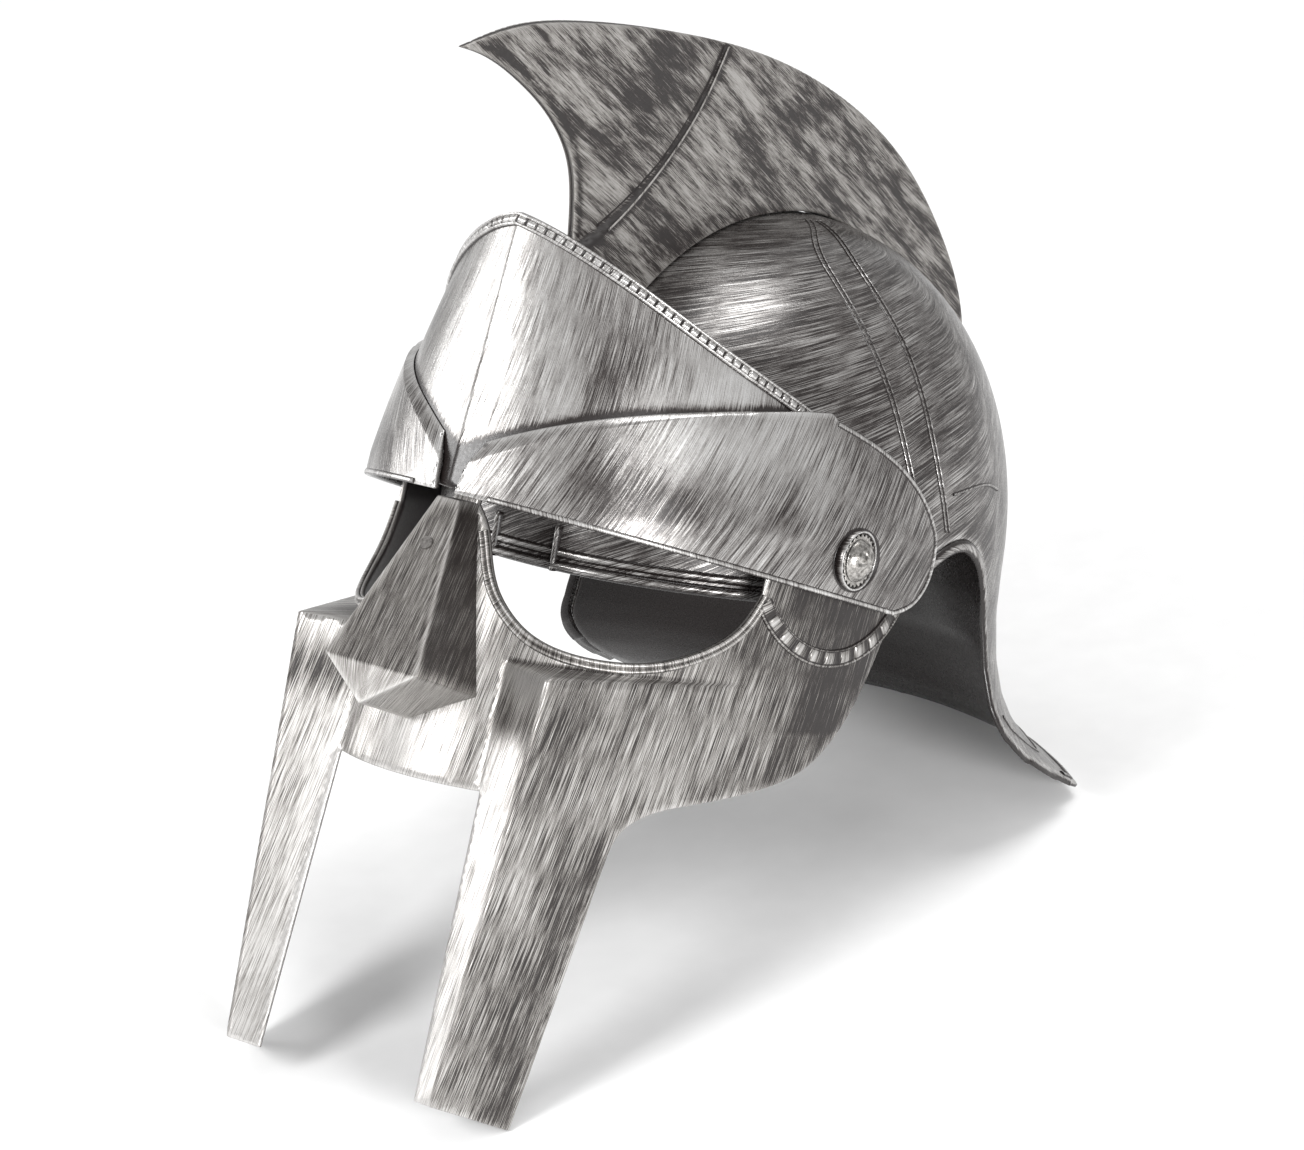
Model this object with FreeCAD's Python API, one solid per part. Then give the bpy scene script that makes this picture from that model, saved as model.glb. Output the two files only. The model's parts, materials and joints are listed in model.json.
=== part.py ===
import FreeCAD, Part
import math
import os

# Costume gladiator helmet, moulded in plastic, all lengths in millimetres.
# The model is drawn upright, as it is worn: X across the face, the face looks towards -Y, Z up.
# It is then leaned back until the two cheek prongs and the neck guard stand on the ground.

Vec = FreeCAD.Vector

# Walls and clearances
wall = 2.2                  # every moulded shell
gap = 0.3                   # free space between pieces that don't touch
runningFit = 0.06           # radial play of a hinge hole on its pin
reach = 260.0               # length of the cutting prisms, longer than the helmet is wide

# Ear hinge, the line that the visor and the mask turn about
pivotY = -12.5
pivotZ = 2.2
pinRadius = 3.0

# Skull bowl
bowlHalfWidth = 93.8
bowlWidestY = 55.0
bowlFrontLength = 130.0
bowlBackLength = 99.5
bowlEquatorZ = -8.0
bowlCrownHeight = 118.5
bowlSquareness = 2.1        # 2 is an ellipse, more is boxier
bowlRimZ = -17.0
neckCornerY = 148.0
neckCornerZ = -85.0
neckBackY = 186.0
neckBackZ = -74.0
earArchTopZ = 7.2
earArchTopY = 60.0
earArchFrontY = 8.0
earArchBackY = 90.2
borderWidth = 5.0
borderHeight = 1.6
borderInset = 0.5           # the raised borders stop this short of the edge
borderEnd = (141.0, -83.2)
rimBeadHeight = 2.0
rimBeadWidth = 4.0
rimRibX = 13.0
rimRibWidth = 3.0
rimRibHeight = 16.0

# Visor family of surfaces, shared by the diadem and the brow bands
visorHalfWidth = 96.5
visorCentreY = 30.0
visorReach = 148.6
visorBaseZ = 10.0
visorLean = 0.182           # how far the brow moves back for each millimetre of height
visorDraw = 0.200           # how much the sides close in for each millimetre of height
visorCurl = 0.0020
ridgeHeight = 4.0
ridgeHalfWidth = 30.0
bandGrow = 3.2              # brow band's outer face stands this far off the diadem
bandEndX = 7.5
bandLowFrontZ = 9.0
bandLowEarY = 10.6
bandLowEarZ = -17.5
bevelWidth = 7.0
bevelEndX = 72.0
beadWidth = 4.6
beadHeight = 1.6
browStudRadius = 1.5

# Mask family of surfaces
maskHalfWidth = 95.0
maskReach = 141.9
maskBaseZ = 4.0
maskLean = 0.184
maskTopZ = 14.0
noseStripTopZ = 24.0
noseStripHalfWidth = 5.5
prongTopZ = -43.8
prongFootZ = -192.0
prongRidgeTop = (54.7, -124.6)
prongRidgeFoot = (45.6, -141.8)
prongInnerTopX = 28.8
prongInnerFootX = 34.1
prongOuterTopY = -44.0
prongOuterFootY = -102.0
prongHeelDrop = 8.2         # the prong's foot is cut lower at its back edge
prongHeelY = -113.0
lipZ = -88.2
earDiscRadius = 39.0
earDiscInner = 32.5
earDiscTopAngle = -8.0       # the disc stops this far round, to clear the band when the mask drops
maskOverPin = 10.0
discBorderHeight = 1.2
eyeViewAngle = 40.0         # the eye openings are cut along this direction

# Nose guard
noseTopHalfWidth = 4.9
noseTopY = -121.0
noseTopZ = 6.6
noseWideHalfWidth = 19.9
noseWideY = -150.3
noseWideZ = -49.5
noseTipY = -153.5
noseTipZ = -63.0
noseFootX = 22.5
noseFootZ = -57.6
noseHeelZ = -70.0
studRadius = 1.2
studHeadRadius = 2.3
studHeadHeight = 0.9
studZ = -8.9

# Ear stack, distances from the middle plane
bossFaceX = 86.3
bossBackX = 75.5
bossRadius = 8.0
spacerThickness = 1.2
padThickness = 2.7
cupRadius = 10.6
cupFloorX = 95.6
cupRimX = 96.9
cupBore = 9.8
toothWasherThickness = 0.7
toothCount = 24
toothDepth = 0.9
capRadius = 7.6
capHeight = 4.6
capRecessRadius = 3.4
nutRadius = 7.0
nutThickness = 1.6

# Crest
crestHalfThickness = 6.5
crestFrontHalfThickness = 5.2
crestEdgeHalfThickness = 1.3
crestWedgeWidth = 42.0
crestWall = 2.0
crestHollowFrontY = -26.0
crestLift = 0.4             # free space between the crest and the bowl
crestScrewY = (20.0, 90.0)
crestBossRadius = 4.3
crestBossHeight = 22.0
screwRadius = 1.75
screwHeadRadius = 3.6
screwHeadHeight = 2.4
screwLength = 18.0
washerRadius = 5.5
washerThickness = 1.0
seatRadius = 7.0
seatDepth = 3.0             # the washer's rim clears the sloping bowl round its pad


# Small drawing helpers

def curve(points):
    spline = Part.BSplineCurve()
    spline.interpolate(points)
    return spline.toShape()


def line(a, b):
    return Part.makeLine(a, b)


def sidePoint(y, z, x=0.0):
    return Vec(x, y, z)


def sideFace(edges):
    return Part.Face(Part.Wire(edges))


def acrossPrism(face):
    face = face.copy()
    face.translate(Vec(-reach / 2, 0, 0))
    return face.extrude(Vec(reach, 0, 0))


def pushOut(points, distance):
    """Points of a side outline moved to the left of the way they run."""
    moved = []
    for i in range(len(points)):
        before = points[max(i - 1, 0)]
        after = points[min(i + 1, len(points) - 1)]
        dy = after[0] - before[0]
        dz = after[1] - before[1]
        length = math.hypot(dy, dz)
        moved.append((points[i][0] - dz / length * distance, points[i][1] + dy / length * distance))
    return moved


def stripPrism(points, width):
    """A band just beside a side outline, cut right across the helmet."""
    inner = [sidePoint(y, z) for y, z in pushOut(points, borderInset)]
    outer = [sidePoint(y, z) for y, z in pushOut(points, width)]
    edges = [curve(inner), line(inner[-1], outer[-1]), curve(outer[::-1]), line(outer[0], inner[0])]
    return acrossPrism(sideFace(edges))


def mirrored(shape):
    return shape.mirror(Vec(0, 0, 0), Vec(1, 0, 0))


def xRod(radius, x0, x1):
    return Part.makeCylinder(radius, x1 - x0, Vec(x0, pivotY, pivotZ), Vec(1, 0, 0))


def biggest(shape):
    """The largest solid of a cut, without the offcuts."""
    return max(shape.Solids, key=lambda solid: solid.Volume)


def polyhedron(points, faces):
    sides = [Part.Face(Part.makePolygon([points[i] for i in face] + [points[face[0]]])) for face in faces]
    return Part.makeSolid(Part.makeShell(sides))


# Skull bowl surfaces

def bowlScale(height):
    """Share of the full plan left at a height between the equator, 0, and the crown, 1."""
    return (1.0 - height ** 2.1) ** (1.0 / bowlSquareness)


def bowlWire(halfWidth, front, back, z):
    points = []
    for i in range(20):
        angle = math.radians(18.0 * i)
        c = math.cos(angle)
        s = math.sin(angle)
        x = math.copysign(abs(c) ** (2.0 / bowlSquareness), c) * halfWidth
        y = math.copysign(abs(s) ** (2.0 / bowlSquareness), s) * (back if s > 0 else front)
        points.append(Vec(x, bowlWidestY + y, z))
    spline = Part.BSplineCurve()
    spline.interpolate(Points=points, PeriodicFlag=True)
    return Part.Wire(spline.toShape())


# Neck flare: depth below the equator, growth of the sides, growth of the back
neckFlare = ((0.0, 0.0, 0.0), (16.0, 1.0, 0.0), (33.0, 4.2, 1.5), (46.0, 8.5, 5.5), (56.0, 13.5, 13.0),
             (64.0, 18.5, 26.0), (71.0, 26.0, 40.0), (77.0, 35.0, 54.0))


def bowlSolid(grow):
    """The bowl's outer form moved outwards by grow, as a closed block with the neck flare."""
    wires = []
    for i in range(len(neckFlare) - 1, 0, -1):
        drop, side, back = neckFlare[i]
        above = neckFlare[i - 1]
        below = neckFlare[min(i + 1, len(neckFlare) - 1)]
        slope = math.hypot(below[0] - above[0], below[2] - above[2])
        out = grow * (below[0] - above[0]) / slope
        up = grow * (below[2] - above[2]) / slope
        wires.append(bowlWire(bowlHalfWidth + side + out, bowlFrontLength + grow,
                              bowlBackLength + back + out, bowlEquatorZ - drop + up))
    for height in (0.0, 0.22, 0.44, 0.64, 0.8, 0.91, 0.97, 0.997):
        k = bowlScale(height)
        wires.append(bowlWire((bowlHalfWidth + grow) * k, (bowlFrontLength + grow) * k,
                              (bowlBackLength + grow) * k,
                              bowlEquatorZ + (bowlCrownHeight + grow) * height))
    return Part.makeLoft(wires, True, False)


def crownZ(y, grow=0.0):
    """Height of the bowl's top line at a place along the middle."""
    length = bowlFrontLength if y < bowlWidestY else bowlBackLength
    share = min(abs(y - bowlWidestY) / (length + grow), 1.0)
    return bowlEquatorZ + (bowlCrownHeight + grow) * (1.0 - share ** bowlSquareness) ** (1.0 / 2.1)


# Ear arch, from the ear tab over the ear and down to the neck guard's corner
earArch = ((earArchFrontY, bowlRimZ), (20.0, -12.5), (34.0, -2.5), (47.0, 5.0), (earArchTopY, earArchTopZ),
           (73.0, 1.5), (82.0, -10.0), (87.0, -26.0), (earArchBackY, -46.0), (94.5, -60.0),
           (104.0, -68.5), (122.0, -77.0), (neckCornerY, neckCornerZ))


def bowlOutline():
    """Side outline of the bowl: front rim, ear arch, neck guard's side edge and back edge."""
    arch = [sidePoint(y, z) for y, z in earArch]
    slope = (neckBackZ - neckCornerZ) / (neckBackY - neckCornerY)
    backEnd = sidePoint(neckBackY + 60.0, neckBackZ + 60.0 * slope)
    topBack = sidePoint(neckBackY + 60.0, 160.0)
    topFront = sidePoint(-110.0, 160.0)
    lowFront = sidePoint(-110.0, bowlRimZ)
    edges = [curve(arch), line(arch[-1], backEnd), line(backEnd, topBack), line(topBack, topFront),
             line(topFront, lowFront), line(lowFront, arch[0])]
    return acrossPrism(sideFace(edges))


def raisedOnBowl(height, region, root):
    """Part of the bowl raised by height over a region, rooted in the middle of the wall."""
    return bowlSolid(height).common(region).cut(root)


def makeSkullBowl():
    leftHalf = Part.makeBox(reach, 2 * reach, 2 * reach, Vec(0, -reach, -reach))
    root = bowlSolid(-wall / 2)
    half = bowlSolid(0.0).cut(bowlSolid(-wall)).common(bowlOutline().common(leftHalf))
    border = stripPrism(earArch[3:-1] + (borderEnd,), borderWidth).common(leftHalf)
    half = half.fuse(raisedOnBowl(borderHeight, border, root))
    frontRim = Part.makeBox(reach, 100.0, rimBeadWidth, Vec(0, -100.0, bowlRimZ + 0.01))
    rib = Part.makeBox(rimRibWidth, 60.0, rimRibHeight, Vec(rimRibX - rimRibWidth / 2, -100.0, bowlRimZ + 1))
    half = half.fuse(raisedOnBowl(rimBeadHeight, frontRim.fuse(rib), root))
    half = half.fuse(xRod(bossRadius, bossBackX, bossFaceX))
    half = biggest(half.cut(xRod(pinRadius, bossBackX - 5, bossFaceX + 5)))
    bowl = half.fuse(mirrored(half))
    pads = [Part.makeCylinder(seatRadius, seatDepth + wall, Vec(0, y, crownZ(y) - wall - seatDepth)).common(root)
            for y in crestScrewY]
    holes = [Part.makeCylinder(screwRadius + 0.1, 40.0, Vec(0, y, crownZ(y) - 20)) for y in crestScrewY]
    return biggest(bowl.multiFuse(pads).cut(holes))


# Visor surfaces

def visorSide(z, grow):
    rise = max(z - visorBaseZ, 0.0)
    return visorHalfWidth - visorDraw * rise - visorCurl * rise * rise + grow


def visorFront(z, grow):
    return visorReach - visorLean * (z - visorBaseZ) + grow


def visorPoint(angle, z, grow):
    """Plan angle 0 is the middle of the brow and 90 degrees is the widest place."""
    x = visorSide(z, grow) * math.sin(angle)
    ridge = ridgeHeight * max(0.0, 1.0 - x / ridgeHalfWidth) ** 2
    return Vec(x, visorCentreY - visorFront(z, grow) * math.cos(angle) - (ridge if angle < 1.5 else 0.0), z)


def mirrorPoint(p):
    return Vec(-p.x, p.y, p.z)


def visorSolid(grow):
    wires = []
    for z in (-25.0, 10.0, 30.0, 50.0, 70.0, 90.0, 112.0):
        half = [visorPoint(math.radians(t), z, grow) for t in (0, 4, 9, 15, 22, 30, 45, 60, 75, 90, 115, 140)]
        half.append(Vec(0, visorCentreY + visorFront(z, grow), z))
        other = [mirrorPoint(p) for p in half][::-1]
        wires.append(Part.Wire([curve(half), curve(other)]))
    return Part.makeLoft(wires, True, False)


def visorAngleAt(x, z):
    return math.asin(min(x / visorSide(z, 0.0), 1.0))


# Top edge of the diadem in side view, from its peak down to its ear end
diademEdge = ((-112.0, 109.4), (-105.4, 104.6), (-87.7, 90.6), (-72.2, 78.6), (-53.8, 66.0), (-36.0, 55.6),
              (-25.0, 49.0))
# The bead stops above this outline, where the brow band begins
beadStop = ((-70.0, 50.2), (-62.0, 50.2), (-38.3, 51.7), (-30.0, 51.5), (-19.0, 49.6), (-10.0, 46.0), (-10.0, 0.0),
            (-70.0, 0.0))
diademTailY = -20.0
diademFootZ = 8.8
diademTailZ = 18.5


def makeDiadem():
    outer = visorSolid(0.0)
    inner = visorSolid(-wall)
    top = [sidePoint(y, z) for y, z in diademEdge]
    tail = sidePoint(diademTailY, 45.5)
    foot = sidePoint(diademTailY, diademTailZ)
    front = sidePoint(-140.0, diademFootZ)
    edges = [curve(top), line(top[-1], tail), line(tail, foot), line(foot, front), line(front, top[0])]
    plate = outer.cut(inner).common(acrossPrism(sideFace(edges)))
    bead = visorSolid(beadHeight).common(stripPrism(diademEdge[::-1], beadWidth)).cut(visorSolid(-wall / 2))
    underBand = [sidePoint(y, z) for y, z in beadStop]
    bead = bead.cut(acrossPrism(sideFace([line(a, b) for a, b in zip(underBand, underBand[1:] + underBand[:1])])))
    diadem = plate.fuse(bead)
    for stud in browStuds():
        diadem = diadem.cut(stud)
    return biggest(diadem.removeSplitter())


def browStudPlaces():
    return [(math.radians(24.0), 17.0), (math.radians(52.0), 30.0)]


def browStud(angle, z):
    """A pin from inside the diadem into the back of the brow band."""
    start = visorPoint(angle, z, -wall - 1.2)
    end = visorPoint(angle, z, 2.0)
    way = end - start
    pin = Part.makeCylinder(browStudRadius, way.Length, start, way)
    head = Part.makeCylinder(browStudRadius * 2, 1.2, start, way)
    return pin.fuse(head)


def browStuds():
    studs = [browStud(angle, z) for angle, z in browStudPlaces()]
    return studs + [mirrored(stud) for stud in studs]


# Brow bands

def bandTopZ(x):
    """Upper edge of the band above each place across the brow."""
    share = min(x / 80.0, 1.0)
    return 22.8 + 43.0 * share - 14.8 * share * share


def bevelCutter():
    wires = []
    for x in (-6.0, 6.0, 18.0, 30.0, 42.0, 54.0, 66.0, 78.0):
        width = bevelWidth * max(1.0 - x / bevelEndX, 0.0)
        z = bandTopZ(x)
        angle = visorAngleAt(abs(x), z)
        corners = [visorPoint(angle, z - width, bandGrow + 0.01), visorPoint(angle, z + 0.05, gap + 0.4),
                   visorPoint(angle, z + 9.0, gap + 0.4), visorPoint(angle, z + 9.0, bandGrow + 9.0),
                   visorPoint(angle, z - width, bandGrow + 9.0)]
        if x < 0:
            corners = [mirrorPoint(p) for p in corners]
        wires.append(Part.makePolygon(corners + corners[:1]))
    return Part.makeLoft(wires, True, True)


def makeBrowBand():
    """The band on the wearer's left, +X; the other is its mirror image."""
    block = visorSolid(bandGrow).cut(visorSolid(gap))
    top = [sidePoint(visorPoint(visorAngleAt(x, bandTopZ(x)), bandTopZ(x), bandGrow).y, bandTopZ(x))
           for x in (0.0, 14.0, 28.0, 42.0, 56.0, 68.0, 78.0)]
    end = [top[-1]] + [sidePoint(y, z) for y, z in ((-19.0, 48.6), (-4.0, 42.5), (13.0, 33.0), (25.5, 20.5),
                                                   (31.0, 7.0), (29.5, -6.0), (22.0, -14.2),
                                                   (bandLowEarY, bandLowEarZ))]
    front = sidePoint(-124.8, bandLowFrontZ)
    far = sidePoint(-150.0, bandLowFrontZ + 25.2 * 0.196)
    farTop = sidePoint(-150.0, top[0].z)
    edges = [curve(top), curve(end), line(end[-1], front), line(front, far), line(far, farTop),
             line(farTop, top[0])]
    block = block.common(acrossPrism(sideFace(edges)))
    block = block.common(Part.makeBox(reach, 400.0, 200.0, Vec(bandEndX, -200.0, -60.0)))
    block = block.cut(bevelCutter())
    cup = xRod(cupRadius, cupFloorX - 4.4, cupRimX)
    bore = xRod(cupBore, cupFloorX, cupRimX + 8)
    hole = xRod(pinRadius + runningFit, cupFloorX - 20, cupRimX + 8)
    clear = visorSolid(gap)
    band = biggest(block).fuse(cup.cut(clear)).cut([bore, hole])
    for stud in browStuds()[:2]:
        band = band.cut(stud)
    return biggest(band.removeSplitter())


# Mask surfaces

def maskReachAt(z, inset=0.0):
    return maskReach - maskLean * (z - maskBaseZ) - inset


def maskPoint(x, z, inset=0.0):
    share = x / (maskHalfWidth - inset)
    return Vec(x, visorCentreY - maskReachAt(z, inset) * math.sqrt(max(1.0 - share * share, 0.0)), z)


def maskPlanPoint(angle, z, inset=0.0):
    x = (maskHalfWidth - inset) * math.sin(angle)
    return Vec(x, visorCentreY - maskReachAt(z, inset) * math.cos(angle), z)


def maskBlock(inset, low, high):
    wires = []
    for z in (low, high):
        half = [maskPlanPoint(math.radians(t), z, inset) for t in (0, 15, 30, 45, 60, 75, 90, 115, 145, 180)]
        other = [mirrorPoint(p) for p in half][::-1]
        wires.append(Part.Wire([curve(half), curve(other)]))
    return Part.makeLoft(wires, True, True)


def mix(a, b, share):
    return a + (b - a) * share


def insetCorner(before, corner, after, distance):
    """A plan corner moved inwards from both of its sides, which run from the middle outwards."""
    ax = corner.x - before.x
    ay = corner.y - before.y
    bx = after.x - corner.x
    by = after.y - corner.y
    la = math.hypot(ax, ay)
    lb = math.hypot(bx, by)
    nx = -ay / la - by / lb
    ny = ax / la + bx / lb
    share = distance * 2.0 / (nx * nx + ny * ny)
    return Vec(corner.x + nx * share, corner.y + ny * share, corner.z)


def prongSection(z, inset):
    """Half plan of a prong: inner edge, ridge and outer edge, moved inwards by inset."""
    share = (prongTopZ - z) / (prongTopZ - prongFootZ)
    inner = maskPoint(mix(prongInnerTopX, prongInnerFootX, share), z)
    ridge = Vec(mix(prongRidgeTop[0], prongRidgeFoot[0], share), mix(prongRidgeTop[1], prongRidgeFoot[1], share), z)
    outerY = mix(prongOuterTopY, prongOuterFootY, share)
    outerX = maskHalfWidth * math.sqrt(1.0 - ((visorCentreY - outerY) / maskReachAt(z)) ** 2)
    outer = Vec(outerX, outerY, z)
    if inset > 0:
        sharp = ridge
        ridge = insetCorner(inner, sharp, outer, inset)
        inner = insetCorner(maskPlanPoint(0.0, z), inner, sharp, inset)
        run = outer - sharp
        outer = outer + Vec(-run.y, run.x, 0) * (inset / run.Length)
    return inner, ridge, outer


def prongBlock(inset, low, high):
    """The space in front of a line well behind the prong's two faces."""
    depth = 12.0 if inset > 0 else wall
    wires = []
    for z in (low, high):
        inner, ridge, outer = prongSection(z, inset)
        loop = [inner, ridge, outer, outer + Vec(-depth, depth * 0.4, 0), inner + Vec(depth * 0.1, depth, 0)]
        wires.append(Part.makePolygon(loop + loop[:1]))
    return Part.makeLoft(wires, True, True)


def maskOutline():
    """Side outline of the mask: prong foot, prong's back edge, cheek edge, ear disc, top."""
    footSlope = prongHeelDrop / (prongHeelY - prongRidgeFoot[1])
    heel = sidePoint(prongHeelY, prongFootZ - prongHeelDrop)
    toe = sidePoint(-175.0, prongFootZ + (prongRidgeFoot[1] + 175.0) * footSlope)
    neck = sidePoint(-91.5, -104.0)
    cheek = [neck] + [sidePoint(y, z) for y, z in ((-88.0, -96.5), (-80.0, -90.6), (-66.0, -86.6),
                                                 (-50.0, -83.4), (-34.0, -79.6), (-18.6, -74.0),
                                                 (-4.5, -62.5), (6.5, -46.0), (15.0, -25.7))]
    centre = sidePoint(pivotY, pivotZ)
    low = cheek[-1]
    radius = (low - centre).Length
    turn = math.radians(earDiscTopAngle)
    back = centre + Vec(0, math.cos(turn), math.sin(turn)) * radius
    middle = centre + Vec(0, math.cos(turn * 2), math.sin(turn * 2)) * radius
    rim = Part.Arc(low, middle, back).toShape()
    overPin = sidePoint(pivotY + 7.0, pivotZ + maskOverPin)
    browFront = sidePoint(-45.0, maskTopZ)
    browBack = sidePoint(-70.0, maskTopZ)
    stripBack = sidePoint(-70.0, noseStripTopZ)
    stripFront = sidePoint(-175.0, noseStripTopZ)
    edges = [line(toe, heel), line(heel, neck), curve(cheek), rim, line(back, overPin),
             line(overPin, browFront), line(browFront, browBack), line(browBack, stripBack),
             line(stripBack, stripFront), line(stripFront, toe)]
    return acrossPrism(sideFace(edges))


# Eye opening seen along the eye direction: place across the view, height
eyeEdge = ((-67.5, 5.0), (-64.3, 0.0), (-61.4, -10.0), (-57.4, -21.3), (-52.9, -27.3), (-46.0, -33.0),
           (-33.8, -37.6), (-19.9, -39.2), (-2.7, -38.3), (14.0, -33.0), (26.9, -23.8), (33.4, -12.0))


def eyeCutter(grow=0.0, depth=95.0):
    c = math.cos(math.radians(eyeViewAngle))
    s = math.sin(math.radians(eyeViewAngle))

    def place(across, z):
        return Vec(across * c + s * 170.0, across * s - c * 170.0, z)

    edge = [place(a, z) for a, z in pushOut(eyeEdge, -grow)]
    topFront = place(eyeEdge[0][0] - grow, 60.0)
    topBack = place(eyeEdge[-1][0] + grow + 0.6, 60.0)
    face = Part.Face(Part.Wire([curve(edge), line(edge[-1], topBack), line(topBack, topFront),
                                line(topFront, edge[0])]))
    return face.extrude(Vec(-s, c, 0) * (170.0 - 20.0 if depth > 90 else depth))


def makeMask():
    low = prongFootZ - 20.0
    shell = maskBlock(0.0, low, noseStripTopZ + 1.0).cut(maskBlock(wall, low - 1.0, noseStripTopZ + 2.0))
    mask = shell.common(maskOutline())
    hollow = prongBlock(wall, low - 1.0, prongTopZ - wall)
    prong = prongBlock(0.0, low, prongTopZ).cut(hollow).common(maskOutline())
    mask = mask.cut([hollow, mirrored(hollow)]).multiFuse([prong, mirrored(prong)])
    slot = [Vec(-prongInnerTopX - 1.6, 0, lipZ), Vec(prongInnerTopX + 1.6, 0, lipZ),
            Vec(prongInnerFootX + 0.6, 0, low), Vec(-prongInnerFootX - 0.6, 0, low)]
    slot = Part.Face(Part.makePolygon(slot + slot[:1]))
    slot.translate(Vec(0, -200.0, 0))
    mask = mask.cut(slot.extrude(Vec(0, 160.0, 0)))
    eye = eyeCutter()
    mask = mask.cut([eye, mirrored(eye)])
    # rolled bead along the eye opening and the notched ring round the ear
    bead = maskBlock(-1.3, -60.0, 10.0).cut(maskBlock(wall / 2, -61.0, 11.0))
    bead = bead.common(eyeCutter(3.6)).cut(eyeCutter())
    bead = bead.common(Part.makeBox(reach, 400.0, 60.0, Vec(12.0, -200.0, -58.0))).common(maskOutline())
    ring = maskBlock(-discBorderHeight, -60.0, 20.0).cut(maskBlock(wall / 2, -61.0, 21.0))
    ring = ring.common(xRod(earDiscRadius, 60.0, 110.0).cut(xRod(earDiscInner, 59.0, 111.0)))
    ring = ring.common(Part.makeBox(reach, 200.0, 60.0, Vec(0.0, -60.0, -68.0))).common(maskOutline())
    padX = bossFaceX + spacerThickness + gap
    pad = xRod(bossRadius, padX, padX + padThickness)
    extras = []
    for piece in (bead, ring, pad):
        extras += [piece, mirrored(piece)]
    mask = mask.multiFuse(extras)
    hole = xRod(pinRadius + runningFit, 60.0, 120.0)
    relief = xRod(bossRadius + 1.2, 70.0, padX)
    stud = noseStud()
    mask = mask.cut([hole, mirrored(hole), relief, mirrored(relief), stud])
    return biggest(mask.removeSplitter())


# Nose guard, a hollow wedge seated on the mask

def nosePoints(front=0.0, side=0.0, foot=0.0, seat=0.02):
    def onMask(x, z):
        p = maskPoint(abs(x), z)
        return Vec(x, p.y - seat, z)

    top = noseTopHalfWidth - side
    wide = noseWideHalfWidth - side
    root = noseStripHalfWidth - side
    base = noseFootX - side
    return [Vec(-top, noseTopY + front, noseTopZ - front * 0.5), Vec(top, noseTopY + front, noseTopZ - front * 0.5),
            Vec(wide, noseWideY + front, noseWideZ + foot), Vec(0, noseTipY + front, noseTipZ + foot),
            Vec(-wide, noseWideY + front, noseWideZ + foot),
            onMask(-root, noseTopZ - 1.2 - front * 0.5), onMask(root, noseTopZ - 1.2 - front * 0.5),
            onMask(base, noseFootZ + foot), onMask(0.0, noseHeelZ + foot), onMask(-base, noseFootZ + foot)]


noseFaces = ((0, 1, 2), (0, 2, 4), (2, 3, 4), (1, 6, 2), (2, 6, 7), (0, 4, 5), (4, 9, 5), (2, 7, 3), (3, 7, 8),
             (3, 8, 9), (3, 9, 4), (0, 5, 6), (0, 6, 1), (5, 9, 6), (6, 9, 7), (7, 9, 8))


def noseStud():
    z = studZ
    share = (noseTopZ - z) / (noseTopZ - noseWideZ)
    faceY = mix(noseTopY, noseWideY, share)
    slope = (noseWideY - noseTopY) / (noseTopZ - noseWideZ)
    normal = Vec(0, -1.0, -slope).normalize()
    seat = Vec(0, faceY, z)
    shank = Part.makeCylinder(studRadius, 17.5, seat, normal * -1.0)
    head = Part.makeCylinder(studHeadRadius, studHeadHeight, seat, normal)
    return shank.fuse(head)


def makeNoseGuard():
    body = polyhedron(nosePoints(), noseFaces)
    mask = maskBlock(0.0, prongFootZ, noseStripTopZ + 1.0)
    body = body.cut(mask)
    hollow = polyhedron(nosePoints(wall * 1.3, wall * 1.25, wall * 1.2, -3.0), noseFaces)
    body = body.cut(hollow)
    body = body.cut(noseStud())
    return biggest(body)


# Crest

crestTop = ((-151.0, 158.0), (-124.0, 166.3), (-86.0, 170.4), (-39.0, 170.6), (23.0, 164.8), (72.0, 152.4),
            (116.0, 132.0), (146.0, 108.6), (167.4, 84.2), (175.5, 64.0), (170.0, 44.0), (153.0, 33.0))
crestFront = ((-151.0, 158.0), (-139.2, 156.3), (-114.9, 147.8), (-95.1, 136.4), (-81.6, 121.6), (-76.4, 104.0),
              (-73.0, 84.0), (-66.0, 62.0))
crestStep = ((-8.0, 180.0), (-8.4, 168.4), (-18.4, 147.6), (-35.7, 125.1), (-58.1, 104.6), (-80.0, 90.0))


def crestBottom():
    """Points just above the bowl's top line, from the back of the head to the brow."""
    places = (149.0, 140.0, 124.0, 100.0, 70.0, 40.0, 10.0, -15.0, -35.0, -50.0, -57.0)
    return [sidePoint(y, crownZ(y, crestLift) + crestLift * 0.3) for y in places]


def crestFace():
    top = [sidePoint(y, z) for y, z in crestTop]
    front = [sidePoint(y, z) for y, z in crestFront]
    bottom = crestBottom()
    edges = [curve(top), line(top[-1], bottom[0]), curve(bottom), line(bottom[-1], front[-1]),
             curve(front[::-1])]
    return sideFace(edges)


def crestWedge():
    """Takes the side of the crest down to a thin front edge."""
    start = [Vec(0, y, z) for y, z in crestFront]
    reachOut = pushOut(crestFront, crestWedgeWidth)
    wires = []
    for i in range(len(start)):
        thin = crestEdgeHalfThickness
        y, z = crestFront[i]
        dy, dz = reachOut[i][0] - y, reachOut[i][1] - z
        before = (y - dy * 0.05, z - dz * 0.05)
        corners = [Vec(thin - 0.2, before[0], before[1]), Vec(crestHalfThickness + 3, before[0], before[1]),
                   Vec(crestHalfThickness + 3, y + dy, z + dz), Vec(crestFrontHalfThickness, y + dy, z + dz)]
        wires.append(Part.makePolygon(corners + corners[:1]))
    return Part.makeLoft(wires, True, True)


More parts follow.
